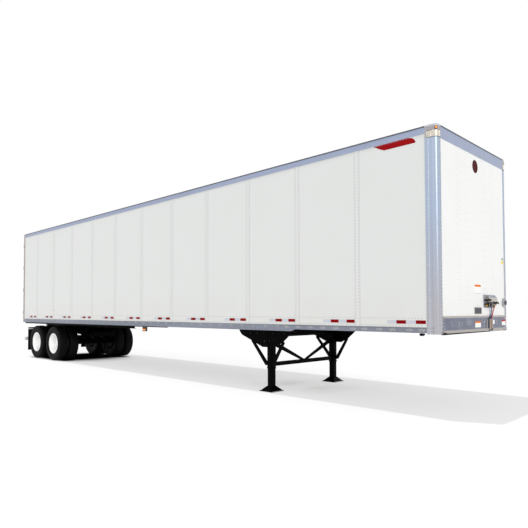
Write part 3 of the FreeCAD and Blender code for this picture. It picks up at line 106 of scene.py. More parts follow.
# Bolt clusters on the bottom rails: how far back from the nose, and the bolts in one: along and up.
RAIL_CLUSTERS = (0.26, 0.45, 0.72, 0.94, 1.2, 1.41, 1.74)
CLUSTER = ((-0.034, 0.006), (-0.012, -0.01), (0.008, 0.014), (0.026, -0.006), (0.044, 0.004))
TRIO = ((-0.02, 0.016), (0.0, -0.008), (0.02, 0.016))
# Rivet groups in the front sill: their columns across and their rows up.
SILL_GROUPS = (((-0.913,), (1.339,)), ((-0.65, -0.549), (1.334, 1.31, 1.286)),
               ((-0.328, -0.236), (1.333, 1.296)), ((0.277, 0.291), (1.321, 1.261)), ((0.8,), (1.335, 1.29)))
POST_RIVETS_Y, POST_BEAD_Y = 1.192, 1.2334      # on the front of the corner posts
TYRE_PLANES = (0.79, 1.13)    # middles of each pair of tyres, across
WHEEL_FACE = 0.974          # outer disc's face, across
NUT_CIRCLE, VALVE_CIRCLE, VALVE_TURN = 0.143, 0.215, 0.314
SPRING_Y = 0.53
HINGES = (1.48, 2.23, 2.98, 3.73)
ROD_Y = 0.33
TAIL_LAMP_Z, HEADER_LAMP_Z = 1.222, 4.045


# ---- meshes ----------------------------------------------------------------------------------------------

class Shape:
    """A mesh in the making: closed parts, each with a material number."""

    def __init__(self):
        self.verts, self.faces, self.slots = [], [], []

    def add(self, verts, faces, slot=0):
        start = len(self.verts)
        self.verts += [tuple(v) for v in verts]
        self.faces += [tuple(start + i for i in face) for face in faces]
        self.slots += [slot] * len(faces)

    def both(self):
        """Adds everything so far again on the trailer's other side."""
        start = len(self.verts)
        self.verts += [(x, -y, z) for x, y, z in self.verts]
        self.faces += [tuple(start + i for i in reversed(face)) for face in self.faces]
        self.slots *= 2
        return self

    def block(self, corner, other, bevel=0.002, slot=0):
        """A box with bevelled edges and corners."""
        ends = [(min(pair), max(pair)) for pair in zip(corner, other)]
        bevel = min(bevel, 0.45 * min(b - a for a, b in ends))
        signs = list(product((0, 1), repeat=3))
        verts, index = [], {}
        for sign, axis in product(signs, range(3)):
            index[sign, axis] = len(verts)
            verts.append(Vector(ends[i][s] + (0 if i == axis else bevel * (1 - 2 * s))
                                for i, s in enumerate(sign)))

        def at(axis, s, pair):
            """The corner at s along an axis, and at the pair along the next two."""
            return tuple((s, *pair)[(i - axis) % 3] for i in range(3))

        faces = [[index[sign, axis] for axis in range(3)] for sign in signs]
        for axis in range(3):
            u, v = (axis + 1) % 3, (axis + 2) % 3
            for s in (0, 1):
                faces.append([index[at(axis, s, pair), axis] for pair in ((0, 0), (1, 0), (1, 1), (0, 1))])
            for pair in product((0, 1), repeat=2):
                near, far = at(axis, 0, pair), at(axis, 1, pair)
                faces.append([index[near, u], index[far, u], index[far, v], index[near, v]])
        centre = sum(verts, Vector()) / len(verts)
        turned = []
        for face in faces:
            a, b, c = (verts[i] for i in face[:3])
            outward = (b - a).cross(c - b).dot(a - centre)
            turned.append(face if outward > 0 else face[::-1])
        self.add(verts, turned, slot)

    def prism(self, outline, along, slot=0):
        """A flat outline of points, drawn out along a vector."""
        base, along = [Vector(p) for p in outline], Vector(along)
        count = len(base)
        normal = sum((p.cross(q) for p, q in zip(base, base[1:] + base[:1])), Vector())
        if normal.dot(along) < 0:
            base.reverse()
        faces = [tuple(reversed(range(count))), tuple(range(count, 2 * count))]
        faces += [(i, (i + 1) % count, count + (i + 1) % count, count + i) for i in range(count)]
        self.add(base + [p + along for p in base], faces, slot)

    def lathe(self, centre, axis, profile, sides=24, slot=0):
        """Revolves a closed outline of (along, radius) points about an axis. A radius of 0 is a pole."""
        centre, axis = Vector(centre), Vector(axis).normalized()
        u = axis.orthogonal().normalized()
        v = axis.cross(u)
        if sum(p[0] * q[1] - q[0] * p[1] for p, q in zip(profile, profile[1:] + profile[:1])) > 0:
            profile = profile[::-1]
        verts, rings = [], []
        for along, radius in profile:
            turns = [2 * pi * i / sides for i in range(sides if radius else 1)]
            rings.append(range(len(verts), len(verts) + len(turns)))
            verts += [centre + axis * along + (u * cos(turn) + v * sin(turn)) * radius for turn in turns]
        faces = []
        for first, second in zip(rings, rings[1:] + rings[:1]):
            for i in range(sides):
                j = (i + 1) % sides
                corners = ((first, i), (first, j), (second, j), (second, i))
                face = tuple(dict.fromkeys(ring[k % len(ring)] for ring, k in corners))
                if len(face) > 2:
                    faces.append(face)
        self.add(verts, faces, slot)

    def turned(self, base, axis, outline, sides=16):
        """A solid turned from an outline that runs from its foot to its flat head."""
        self.lathe(base, axis, [(outline[0][0], 0)] + outline + [(outline[-1][0], 0)], sides)

    def disc(self, base, axis, radius, height, bevel=0.001, sides=16, inset=None):
        """A short cylinder that stands on its base, with a bevel of its own height and inset."""
        head = radius - (bevel if inset is None else inset)
        self.turned(base, axis, [(0, radius), (height - bevel, radius), (height, head)], sides)

    def ring(self, base, axis, inner, outer, height, bevel=0.001, sides=24):
        self.lathe(base, axis, [(0, inner), (0, outer), (height - bevel, outer), (height, outer - bevel),
                                (height, inner + bevel), (height - bevel, inner)], sides)

    def dome(self, base, axis, radius, height=None, sides=6, slot=0):
        """A rivet head."""
        height = height or 0.4 * radius
        outline = [(0, 0), (0, radius), (0.62 * height, 0.74 * radius), (height, 0)]
        self.lathe(base, axis, outline, sides, slot)

    def rivets(self, start, axis, pitch=RIVET_PITCH, radius=RIVET, slot=0, **end):
        """A row of rivet heads from start to where x, y or z is as given."""
        start = Vector(start)
        last = Vector(end.get(name, value) for name, value in zip("xyz", start))
        count = max(1, round((last - start).length / pitch))
        for i in range(count + 1):
            self.dome(start.lerp(last, i / count), axis, radius, slot=slot)

    def bolt(self, base, axis, size, washer=True):
        """A hexagon head on a washer."""
        axis = Vector(axis).normalized()
        lift = 0.12 * size if washer else 0.0
        if washer:
            self.disc(base, axis, 0.95 * size, lift, 0.03 * size, 14)
        self.disc(Vector(base) + axis * lift, axis, 0.68 * size, 0.46 * size, 0.08 * size, 6, 0.1 * size)

    def tube(self, points, radius, sides=10):
        """A round bar or hose through points, with closed ends."""
        points = [Vector(p) for p in points]
        verts, rings = [], []
        side = None
        for i, point in enumerate(points):
            heading = (points[min(i + 1, len(points) - 1)] - points[max(i - 1, 0)]).normalized()
            side = heading.orthogonal() if side is None else side - heading * side.dot(heading)
            side.normalize()
            other = heading.cross(side)
            rings.append(range(len(verts), len(verts) + sides))
            turns = [2 * pi * k / sides for k in range(sides)]
            verts += [point + (side * cos(turn) + other * sin(turn)) * radius for turn in turns]
        faces = [tuple(reversed(rings[0])), tuple(rings[-1])]
        for first, second in zip(rings, rings[1:]):
            faces += [(first[k - 1], first[k], second[k], second[k - 1]) for k in range(sides)]
        self.add(verts, faces)


def each(make, xs, ys, zs, *rest, **more):
    """Makes one part at every crossing of the given places. A bare number stands for itself."""
    spans = [[v] if isinstance(v, (int, float)) else v for v in (xs, ys, zs)]
    for place in product(*spans):
        make(place, *rest, **more)


def mirrored(*ys):
    """Places across the trailer, on both of its sides."""
    return [side * y for side in SIDES for y in ys]


def spokes(count, radius, shift=0.5):
    """Points round a circle, as pairs that begin straight up the second axis for a shift of 0."""
    turns = [2 * pi * (i + shift) / count for i in range(count)]
    return [(radius * sin(turn), radius * cos(turn)) for turn in turns]


def placed(name, data):
    """A new object in the scene."""
    made = bpy.data.objects.new(name, data)
    bpy.context.scene.collection.objects.link(made)
    return made


def piece(name, slot, shape, *materials, body="trailer", smooth=35):
    """Makes the shape an object that rides on a body."""
    mesh = bpy.data.meshes.new(name)
    mesh.from_pydata(shape.verts, [], shape.faces)
    for material in materials:
        mesh.materials.append(material)
    mesh.polygons.foreach_set("material_index", shape.slots)
    mesh.polygons.foreach_set("use_smooth", [True] * len(shape.faces))
    mesh.update()
    mesh.set_sharp_from_angle(angle=radians(smooth))
    made = placed(name, mesh)
    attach(made, body)
    return made


def steps(start, end, pitch):
    """Evenly spaced numbers from start to end, near the pitch apart."""
    count = max(1, round(abs(end - start) / pitch))
    return [start + (end - start) * i / count for i in range(count + 1)]


# ---- materials -------------------------------------------------------------------------------------------

def hue(text):
    """Linear colour from a hex code."""
    parts = [int(text[i:i + 2], 16) / 255 for i in (0, 2, 4)]
    return tuple(c / 12.92 if c <= 0.04045 else ((c + 0.055) / 1.055) ** 2.4 for c in parts) + (1.0,)


class Nodes:
    """Adds nodes to one shader tree and links them."""

    def __init__(self, tree):
        self.tree = tree

    def node(self, kind, inputs=(), **settings):
        """A node with its settings, and with values or links in the inputs named."""
        made = self.tree.nodes.new("ShaderNode" + kind)
        for key, value in settings.items():
            setattr(made, key, value)
        for key, value in dict(inputs).items():
            self.put(made.inputs[key], value)
        return made

    def put(self, socket, value):
        if isinstance(value, bpy.types.NodeSocket):
            self.tree.links.new(value, socket)
        else:
            socket.default_value = value

    def maths(self, operation, *values):
        return self.node("Math", dict(enumerate(values)), operation=operation).outputs[0]

    def ramp(self, value, from_low, from_high, to_low=0.0, to_high=1.0):
        ends = {"From Min": from_low, "From Max": from_high, "To Min": to_low, "To Max": to_high}
        return self.node("MapRange", {"Value": value, **ends}).outputs["Result"]

    def mix(self, mask, plain, over):
        return self.node("Mix", {"Factor": mask, 6: plain, 7: over}, data_type="RGBA").outputs[2]

    def axis(self, index):
        return self.node("SeparateXYZ", {0: self.coords}).outputs[index]


class Surface(Nodes):
    """A Principled material whose colour, roughness and relief come from nodes in object space."""

    def __init__(self, name, colour, rough, metal=0.0, coat=0.0, specular=0.5):
        self.material = bpy.data.materials.new(name)
        self.material.use_nodes = True
        super().__init__(self.material.node_tree)
        self.shader = self.tree.nodes["Principled BSDF"].inputs
        self.rough, self.colour, self.normal = rough, hue(colour), None
        values = {"Metallic": metal, "Coat Weight": coat, "Coat Roughness": 0.12, "Roughness": rough,
                  "Specular IOR Level": specular, "Base Color": self.colour}
        for key, value in values.items():
            self.put(self.shader[key], value)
        self.coords = self.node("TexCoord").outputs["Object"]

    def scaled(self, *scale):
        return self.node("Mapping", {"Vector": self.coords, "Scale": scale}).outputs["Vector"]

    def noise(self, scale, detail=3.0, rough=0.55, stretch=None):
        place = self.scaled(*stretch) if stretch else self.coords
        return self.node("TexNoise", {"Vector": place, "Scale": scale, "Detail": detail,
                                      "Roughness": rough}).outputs["Fac"]

    def tint(self, colour, mask):
        """Lays another colour over the base where the mask is 1."""
        self.colour = self.mix(mask, self.colour, hue(colour))
        self.put(self.shader["Base Color"], self.colour)
        return self

    def patches(self, colour, scale, low_at, high_at, amount, stretch=None):
        """Another colour in soft patches, where noise is high."""
        value = self.noise(scale, 4.0, 0.6, stretch)
        return self.tint(colour, self.ramp(value, low_at, high_at, 0.0, amount))

    def cells(self, colour, low_at, high_at, amount, **cell):
        """Another colour in cells, each with its own share of it."""
        found = self.node("TexVoronoi", cell).outputs["Color"]
        share = self.node("SeparateColor", {0: found}).outputs[0]
        return self.tint(colour, self.ramp(share, low_at, high_at, 0.0, amount))

    def soften(self, width):
        """Rounds sharp edges in the shading."""
        self.normal = self.node("Bevel", {"Radius": width}, samples=4).outputs["Normal"]
        return self

    def edges(self, colour, width=0.003, amount=0.6):
        """Paler colour along edges, broken up by noise: wear, and in the black paint partly a painted
        highlight.
        """
        self.soften(width)
        plain = self.node("NewGeometry").outputs["Normal"]
        dot = self.node("VectorMath", {0: self.normal, 1: plain}, operation="DOT_PRODUCT").outputs["Value"]
        broken = self.ramp(self.noise(14.0, 5.0, 0.7), 0.42, 0.62, 0.0, amount)
        return self.tint(colour, self.maths("MULTIPLY", self.ramp(dot, 0.98, 0.85), broken))

    def dust(self, colour, from_z, to_z, amount=0.5):
        """Road dust that thins out with height."""
        height = self.ramp(self.axis(2), from_z, to_z, amount, 0.0)
        broken = self.ramp(self.noise(3.5, 5.0, 0.65), 0.3, 0.7)
        return self.tint(colour, self.maths("MULTIPLY", height, broken))

    def relief(self, height, strength, distance):
        bump = self.node("Bump", {"Strength": strength, "Distance": distance, "Height": height})
        if self.normal is not None:
            self.put(bump.inputs["Normal"], self.normal)
        self.normal = bump.outputs["Normal"]
        self.put(self.shader["Normal"], self.normal)
        return self

    def grain(self, scale, swing, strength, distance, stretch=None):
        """Fine relief with roughness that follows it. Returns the finished material."""
        value = self.noise(scale, 4.0, 0.6, stretch)
        self.put(self.shader["Roughness"], self.ramp(value, 0.3, 0.7, self.rough - swing, self.rough + swing))
        return self.relief(value, strength, distance).material


def wall_paint(name, colour):
    """Coil-coated plate: faint waviness, fine orange peel, a little dust low down."""
    made = Surface(name, colour, 0.42, coat=0.15)
    made.patches("DEDFDC", 0.9, 0.35, 0.7, 0.35)
    made.dust("D8D2C4", 1.15, 1.9, 0.35)
    made.relief(made.noise(1.6, 1.0), 0.12, 0.01)
    return made.grain(260.0, 0.06, 0.05, 0.0002)


def rail_metal(name):
    """Anodised extrusion: streaks along its length, pale scuffs, soft stains, and greyer near the floor."""
    made = Surface(name, "A3ADC6", 0.36, metal=1.0)
    near_floor = made.ramp(made.axis(2), 1.75, 1.6)
    made.tint("868A95", near_floor)
    on_nose = made.ramp(made.axis(0), NOSE - 0.02, NOSE - 0.015)
    made.tint("737788", made.maths("MULTIPLY", near_floor, on_nose))
    made.patches("B7BFD3", 1.0, 0.45, 0.75, 0.28, (0.35, 6.0, 9.0))
    made.patches("858EA6", 2.2, 0.52, 0.8, 0.28, (1.0, 3.0, 2.0))
    made.edges("C9CEDB")
    return made.grain(1.0, 0.07, 0.1, 0.0003, (8.0, 260.0, 260.0))


def post_metal(name):
    """Bright anodised corner: blue above, greyer low down as a painted reflection of the ground, streaked
    upright.
    """
    made = Surface(name, "B2C0D6", 0.3, metal=1.0)
    # Greyer towards the foot: a painted reflection of the ground below.
    made.tint("B9B6BA", made.ramp(made.axis(2), 2.9, 1.5))
    made.patches("9AA4B6", 1.0, 0.42, 0.7, 0.5, (60.0, 60.0, 0.25))
    made.patches("D4DCEA", 1.0, 0.5, 0.75, 0.45, (34.0, 34.0, 0.18))
    made.soften(0.002)
    return made.grain(1.0, 0.06, 0.08, 0.0003, (240.0, 240.0, 6.0))


def cast_metal(name, colour, pale, rough=0.45):
    """Cast and machined metal: fine mottling and bright edges."""
    made = Surface(name, colour, rough, metal=0.85)
    made.patches(pale, 22.0, 0.42, 0.66, 0.55)
    made.edges("F0EBDD", 0.004, 0.7)
    return made.grain(140.0, 0.12, 0.35, 0.0006)


def black_paint(name, colour="020202", rough=0.42, dusty=0.05):
    """Satin black chassis paint with pale chips on its edges, partly a painted highlight, and dust low down.
    """
    made = Surface(name, colour, rough, specular=0.03)
    made.patches("060607", 5.0, 0.45, 0.7, 0.7)
    # Pale edge chips: wear, and partly a painted highlight along the edges.
    made.edges("3A3A3C", 0.003, 0.5)
    made.dust("2A2826", 0.0, 0.5, dusty)
    return made.grain(95.0, 0.1, 0.22, 0.0005)


def zinc(name, colour="8F9296", pale="B4B7BA", rough=0.36):
    """Galvanised steel: pale spangles."""
    made = Surface(name, colour, rough, metal=0.9)
    made.cells(pale, 0.2, 0.9, 0.6, Vector=made.coords, Scale=55.0)
    made.edges("D5D7D9")
    return made.grain(120.0, 0.1, 0.12, 0.0004)


def rubber(name):
    """Dull black rubber, dusty near the ground."""
    made = Surface(name, "0A0A0B", 0.72, specular=0.15)
    made.patches("0D0D0E", 9.0, 0.45, 0.7, 0.8)
    made.dust("2B2926", 0.0, 0.35)
    return made.grain(180.0, 0.1, 0.35, 0.0006)


def tyre_rubber(name):
    """Matt black rubber with slightly greyer patches, large and small."""
    made = Surface(name, "08080A", 0.66, specular=0.12)
    made.patches("101011", 6.0, 0.42, 0.7, 0.7)
    made.patches("1A1A1B", 60.0, 0.5, 0.75, 0.35)
    return made.grain(240.0, 0.1, 0.3, 0.0005)


def white_wheel(name):
    """Powder-coated disc wheel with faint brake dust; the inner wheels and inboard faces are near black and
    dull, as painted shade.
    """
    made = Surface(name, "FCFCFB", 0.34)
    made.patches("F0EEEA", 7.0, 0.5, 0.8, 0.5)
    made.patches("D8D3CA", 26.0, 0.6, 0.85, 0.35)
    across = made.maths("ABSOLUTE", made.axis(1))
    # Inboard of the outer discs the white turns near black, with no coat and little gloss: painted shade deep
    # under the trailer.
    made.tint("0A0A0A", made.ramp(across, 0.93, 0.9))
    for key, inside, outside in (("Coat Weight", 0.0, 0.2), ("Specular IOR Level", 0.05, 0.5)):
        made.put(made.shader[key], made.ramp(across, 0.9, 0.93, inside, outside))
    made.soften(0.003)
    return made.grain(170.0, 0.07, 0.08, 0.0003)


def plastic(name, colour, pale, rough=0.5, coat=0.0):
    """Moulded plastic, slightly mottled."""
    made = Surface(name, colour, rough, coat=coat)
    made.patches(pale, 30.0, 0.45, 0.7, 0.45)
    made.soften(0.0015)
    return made.grain(320.0, 0.08, 0.14, 0.0003)


def lens(name, colour, deep):
    """Moulded lens: glossy, deeper in colour in patches, with flutes in its relief."""
    made = Surface(name, colour, 0.16, coat=0.6)
    # A faint glow in the lens's own colour: painted light, as no lamp shines behind the lens.
    made.put(made.shader["Emission Strength"], 0.12)
    made.put(made.shader["Emission Color"], hue(colour))
    made.patches(deep, 60.0, 0.4, 0.7, 0.6)
    made.put(made.shader["Roughness"], made.ramp(made.noise(90.0), 0.3, 0.7, 0.1, 0.24))
    flutes = made.node("TexWave", {"Vector": made.coords, "Scale": 60.0}).outputs["Fac"]
    return made.relief(flutes, 0.4, 0.0008).material


def reflective(name, colour, pale):
    """Retroreflective tape: a fine net of sealed cells."""
    made = Surface(name, colour, 0.45, specular=0.06)
    net = made.node("TexVoronoi", {"Vector": made.coords, "Scale": 170.0}, feature="DISTANCE_TO_EDGE")
    made.tint(pale, made.ramp(net.outputs["Distance"], 0.0, 0.12, 0.25, 0.0))
    made.patches(pale, 5.0, 0.5, 0.8, 0.25)
    return made.grain(200.0, 0.08, 0.1, 0.0002)


def paper(name, colour, shade):
    """A printed plate, label or dull paint, faded unevenly."""
    made = Surface(name, colour, 0.5, specular=0.06)
    made.patches(shade, 18.0, 0.45, 0.75, 0.5)
    return made.grain(420.0, 0.06, 0.1, 0.0002)


def hoses(name):
    """Three lines side by side: pale blue above and blue below, black, and red."""
    made = Surface(name, "24357C", 0.42)
    made.tint("A9B0D4", made.ramp(made.axis(2), 1.44, 1.48))
    made.tint("18181A", made.ramp(made.axis(1), 0.5165, 0.5175))
    slant = made.maths("SUBTRACT", made.axis(1), made.maths("MULTIPLY", made.axis(2), 0.36))
    made.tint("C01822", made.ramp(slant, 0.0543, 0.0553))
    made.patches("3A3C44", 40.0, 0.55, 0.8, 0.3)
    return made.grain(320.0, 0.08, 0.14, 0.0003)


def timber(name):
    """Laminated oak floor: long strips of differing tone with grain along them."""
    made = Surface(name, "8A6238", 0.5, coat=0.15)
    made.cells("A67A48", 0.1, 0.9, 0.8, Vector=made.scaled(0.7, 30.0, 0.0), Scale=1.0, Randomness=0.35)
    made.patches("5E3F22", 1.0, 0.5, 0.8, 0.7, (3.0, 120.0, 120.0))
    return made.grain(1.0, 0.12, 0.3, 0.0006, (6.0, 300.0, 300.0))


WHITE = wall_paint("plate_white", "E7E7E5")
DOOR_WHITE = wall_paint("door_white", "E7E7E5")
SEAM_WHITE = wall_paint("seam_white", "E1E1DF")
# The side walls' white is darker than the front wall's: a painted shade, for the side's dimmer light.
SIDE_WHITE_SHADED = wall_paint("side_white_shaded", "E1E2E0")
RAIL = rail_metal("rail_anodised")
POST = post_metal("post_anodised")
CAST = cast_metal("cast_aluminium", "ABA9AC", "C2C0C2")
CAST_BAND = cast_metal("cast_band", "D6CDC0", "EFE8DC", 0.32)
GLADHAND = cast_metal("gladhand_black", "26262A", "3E3E44", 0.4)
TIMBER = timber("oak_floor")
DARK_STEEL = black_paint("floor_steel", "060607")
BLACK_STEEL = black_paint("chassis_black")
HUB = black_paint("hub_black", "121212", 0.4, 0.3)
FLAP = rubber("flap_rubber")
SEAL_BLACK = rubber("seal_black")
TYRE = tyre_rubber("tyre_black")
WHEEL = white_wheel("wheel_white")
HOSE = hoses("hoses")
AMBER = lens("lens_amber", "FF9A2A", "E07812")
RED_LENS = lens("lens_red", "B4121A", "7A0A10")
TAPE_RED = reflective("tape_red", "860003", "94060A")
TAPE_WHITE = reflective("tape_white", "CACCD4", "D6D8E0")

BRIGHT_STEEL = zinc("zinc_plated", "A6A9AE", "C5C8CC", 0.28)
GALVANISED = zinc("galvanised")
REAR_FRAME_EDGE = zinc("rear_frame_edge", "A89C98", "B9AEA9")
# Warm grey for the wheels' nuts, studs and valves: a painted shade round the hub.
NUT_SHADED = zinc("nut_shaded", "D2CCC4", "E6E1DA", 0.42)
GREY_PLATE = zinc("nose_plate", "8C93A2", "A3AAB8", 0.38)
DRIP = zinc("drip_edge", "5C6066", "74787F", 0.45)
SILL_PALE = zinc("sill_pale", "AFA9A6", "C2BDBA", 0.42)
STEEL_PALE = zinc("steel_pale", "A9A5A0", "C4C0BA", 0.4)
STEEL_DARK = zinc("steel_dark", "1E1E20", "333436", 0.45)
HOOD_WARM = zinc("hood_warm", "C2BBB6", "D2CCC7", 0.42)
PLATE_SHADE = zinc("plate_shade", "938D8A", "A39D99", 0.5)
RIVET_BRIGHT = zinc("rivet_bright", "BFC6D6", "DCE0E8", 0.3)

LABEL = paper("label_white", "EFEFEC", "DCDAD4")
LABEL_ORANGE = paper("label_orange", "E27408", "CC6404")
LABEL_RED = paper("label_red", "B52A2E", "92191D")
TAG_YELLOW = paper("tag_yellow", "E2CC3A", "BDA522")
MAROON = paper("plate_maroon", "47030F", "38020B")
BANNER = paper("banner_red", "9C0F16", "7E0A10")
RIVET_PAINTED = paper("rivet_painted", "A2A6A8", "94989A")
RIVET_BEIGE = paper("rivet_beige", "DAD3C7", "C6BFB3")
RIVET_DARK = paper("rivet_dark", "6A6E78", "5C6068")
SEALANT_PALE = paper("sealant_pale", "C4C6C6", "B6B8B8")
TAN = paper("liner_tan", "8F7458", "7A6148")

VENT = plastic("vent_grey", "5E6066", "6C6E74")
HOLDER = plastic("holder_grey", "A8ABAF", "BEC1C4", 0.38)
HOLDER_DARK = plastic("holder_dark", "34363A", "424448", 0.45)
CAST_GREY = plastic("cast_grey", "BFC2C9", "CBCED4")
TAG_GREY = plastic("tag_grey", "9A9DA1", "86898D")
SEAL_YELLOW = plastic("seal_yellow", "D9A520", "C08C14")
PLASTIC_PALE = plastic("plastic_pale", "D8D5D0", "E2DFDA", 0.45)
LENS_CLEAR = plastic("lens_clear", "D8DCE0", "F0F2F4", 0.15, 0.4)
# Dark lines that are painted shade: along the bottom rails' top and round the corner castings' ribbed block.
SHADE_LINE = plastic("shade_line_dark", "3F444E", "555B66")
BLACK_PLASTIC = plastic("black_plastic", "101011", "1E1E20", 0.38)

SLOT_MATERIALS = {
    "wall_plate": WHITE, "seam_strip": SEAM_WHITE, "aluminium_rail": RAIL, "corner_aluminium": POST,
    "cast_corner": CAST, "hardwood_floor": TIMBER, "dark_steel": DARK_STEEL, "bright_steel": BRIGHT_STEEL,
    "galvanised_frame": GALVANISED, "door_plate": DOOR_WHITE, "black_steel": BLACK_STEEL, "flap_rubber": FLAP,
    "tyre_rubber": TYRE, "white_wheel": WHEEL, "black_hub": HUB, "grey_plate": GREY_PLATE,
    "gladhand_metal": GLADHAND, "air_line": HOSE, "black_plastic": VENT, "grey_plastic": HOLDER,
    "amber_lens": AMBER, "red_lens": RED_LENS,
}
# The side walls take the darker copy of the white, a painted shade.
NODE_MATERIALS = {"side_wall_left": SIDE_WHITE_SHADED, "side_wall_right": SIDE_WHITE_SHADED, "rear_frame": REAR_FRAME_EDGE}
for part in frame["record"]["subparts"]:
    for holder in NODES[part["node"]].material_slots:
        holder.material = NODE_MATERIALS.get(part["node"], SLOT_MATERIALS[part["material_slot"]])


# ---- body: rivets, strips and edges ----------------------------------------------------------------------
# What both sides have is built on the road side, and both() repeats it on the curb side. Bolts and rivets
# that don't point across the trailer stand at mirrored() places instead, so that they are all turned alike.

def wall_details():
    """Rivets down each seam strip and along the side walls, a bead beside each strip, and reflective tape."""
    strips, walls, beads, tape = Shape(), Shape(), Shape(), Shape()
    foot, head = low("wall_seam_strips").z, high("wall_seam_strips").z
    for seam, way in product(SEAMS, SIDES):
        strips.rivets((seam + way * 0.028, STRIP, foot + 0.02), OUT, radius=WALL_RIVET, z=head - 0.02)
        edge = seam + way * SEAM_HALF
        beads.block((edge, WALL, foot), (edge + way * 0.006, WALL + 0.0016, head), 0.0008)
    ends = [POST_END - 0.02] + SEAMS + [low("side_wall_left").x + 0.03]
    for front, back in zip(ends, ends[1:]):
        for z in (RAIL_HEAD + 0.03, TAPE_TOP + 0.031, low("top_rails").z - 0.014):
            walls.rivets((front - 0.06, WALL, z), OUT, radius=WALL_RIVET, x=back + 0.06)
    for front, i in product([POST_END - 0.014] + [seam - SEAM_HALF - 0.012 for seam in SEAMS], range(4)):
        x = front - i * TAPE_BLOCK
        tape.block((x, WALL - 0.0002, TAPE_FOOT), (x - TAPE_BLOCK + 0.0004, WALL + 0.0007, TAPE_TOP),
                   0.0002, i % 2)
    piece("seam_rivets", "seam_strip", strips.both(), RIVET_PAINTED)
    piece("wall_row_rivets", "wall_plate", walls.both(), RIVET_PAINTED)
    piece("seam_sealant", "seam_strip", beads.both(), SEALANT_PALE)
    piece("reflective_tape", "wall_plate", tape.both(), TAPE_RED, TAPE_WHITE)


def top_rail_details():
    """Rivet rows in the top rails and the header, and the drip edge along the roof."""
    rivets, drip = Shape(), Shape()
    header, span = low("front_header").z, high("front_header").y
    front, back = low("front_corner_caps").x, low("top_rails").x
    edge = [(0.0, -0.024), (0.0024, -0.022), (0.0042, -0.014), (0.0042, -0.008), (0.0, 0.0), (-0.03, 0.0024),
            (-0.03, -0.001), (-0.011, -0.001)]
    rivets.rivets((front - 0.03, HALF, low("top_rails").z + 0.017), OUT, 2 * RIVET_PITCH, x=back + 0.03)
    drip.prism([(back, HALF + out, TOP + up) for out, up in edge], (front - back, 0, 0))
    rivets.both()
    drip.both()
    rivets.rivets((NOSE, 0.02 - span, header + 0.014), AHEAD, y=span - 0.02)
    each(rivets.bolt, NOSE, (0.284, 0.403), header + 0.06, AHEAD, 0.011)
    drip.prism([(NOSE + out, -span, TOP + up) for out, up in edge], (0, 2 * span, 0))
    piece("top_rail_rivets", "aluminium_rail", rivets, RIVET_BRIGHT)
    piece("drip_edges", "aluminium_rail", drip, DRIP)


def bottom_rail_details():
    """Bolt clusters where crossmembers meet the bottom rails, a lip along each rail's top and foot, and a dark
    line as painted shadow.
    """
    rivets, lips = Shape(), Shape()
    top, foot = RAIL_HEAD, low("bottom_rails").z
    back, front = low("bottom_rails").x, high("bottom_rails").x
    middle, leg = (top + RAIL_SHALLOW) / 2, high("landing_wing_plates").x
    groups = [NOSE - reach for reach in RAIL_CLUSTERS]
    groups += steps(groups[-1] - 0.254, leg + 0.1, 0.254)
    behind = steps(leg - 0.1, back + 0.12, CROSSMEMBER_PITCH)
    for places, bolts, radius, height in ((groups, CLUSTER, 0.0085, 0.0032), (behind, TRIO, 0.008, 0.003)):
        for x, (along, up) in product(places, bolts):
            rivets.dome((x + along, HALF, middle + up), OUT, radius, height)
    top_lip = ((0, top - 0.001), (0.0016, top - 0.002), (0.0016, top - 0.009), (0, top - 0.011))
    foot_lip = ((0, foot + 0.014), (0.0022, foot + 0.011), (0.0022, foot + 0.003), (0, foot))
    for end, lip in ((front, top_lip), (RAIL_STEP, foot_lip)):
        lips.prism([(back, HALF + out, z) for out, z in lip], (end - back, 0, 0))
    # A dark strip along the rail's top: the painted shadow of its top edge.
    lips.block((back, WALL + 0.0003, top - 0.0003), (front, HALF + 0.0003, top + 0.0022), 0.0008, 1)
    piece("bottom_rail_rivets", "aluminium_rail", rivets.both(), RIVET_BEIGE)
    piece("bottom_rail_lips", "aluminium_rail", lips.both(), RAIL, SHADE_LINE)


def post_details():
    """Rivets down both flanges of each corner post, and the beads between flanges and round."""
    rivets, beads = Shape(), Shape()
    foot, head = low("front_corner_posts").z, high("front_corner_posts").z
    rivets.rivets((POST_END + 0.022, HALF, foot + 0.03), OUT, z=head - 0.02)
    each(rivets.dome, (POST_END + 0.06, POST_END + 0.098), HALF, (foot + 0.04, foot + 0.09),
         OUT, 0.0085, 0.0035)
    rivets.both()
    for y in mirrored(POST_RIVETS_Y):
        rivets.rivets((NOSE, y, foot + 0.03), AHEAD, radius=POST_RIVET, z=head - 0.02)
    arc = [radians(30 * i) for i in range(7)]
    side_bead = [(POST_END + 0.052 + 0.0055 * cos(turn), HALF + 0.0045 * sin(turn)) for turn in arc]
    front_bead = [(NOSE + ahead, POST_BEAD_Y + across)
                  for ahead, across in ((0, 0.003), (0.0018, 0.002), (0.0018, -0.002), (0, -0.003))]
    for bead in (side_bead, front_bead):
        beads.prism([(x, y, foot) for x, y in bead], (0, 0, head - foot))
    piece("post_rivets", "corner_aluminium", rivets, RIVET_DARK)
    piece("post_beads", "corner_aluminium", beads.both(), RIVET_BRIGHT)


def corner_outline(proud, side_reach, front_reach, count=8):
    """Points round the outside of a corner, from its side flange to its front flange, set out by proud."""
    radius, x, y = POST_ROUND + proud, NOSE - POST_ROUND, HALF - POST_ROUND
    turns = [pi / 2 * i / count for i in range(count + 1)]
    arc = [(x + radius * sin(turn), y + radius * cos(turn)) for turn in turns]
    return [(NOSE - side_reach, HALF + proud)] + arc + [(NOSE + proud, HALF - front_reach)]


def corner_band(shape, z_low, z_high, proud, side_reach, front_reach, slot=0):
    """A raised band that wraps a corner."""
    outer = corner_outline(proud, side_reach, front_reach)
    inner = corner_outline(-0.002, side_reach, front_reach)
    shape.prism([(x, y, z_low) for x, y in outer + inner[::-1]], (0, 0, z_high - z_low), slot)


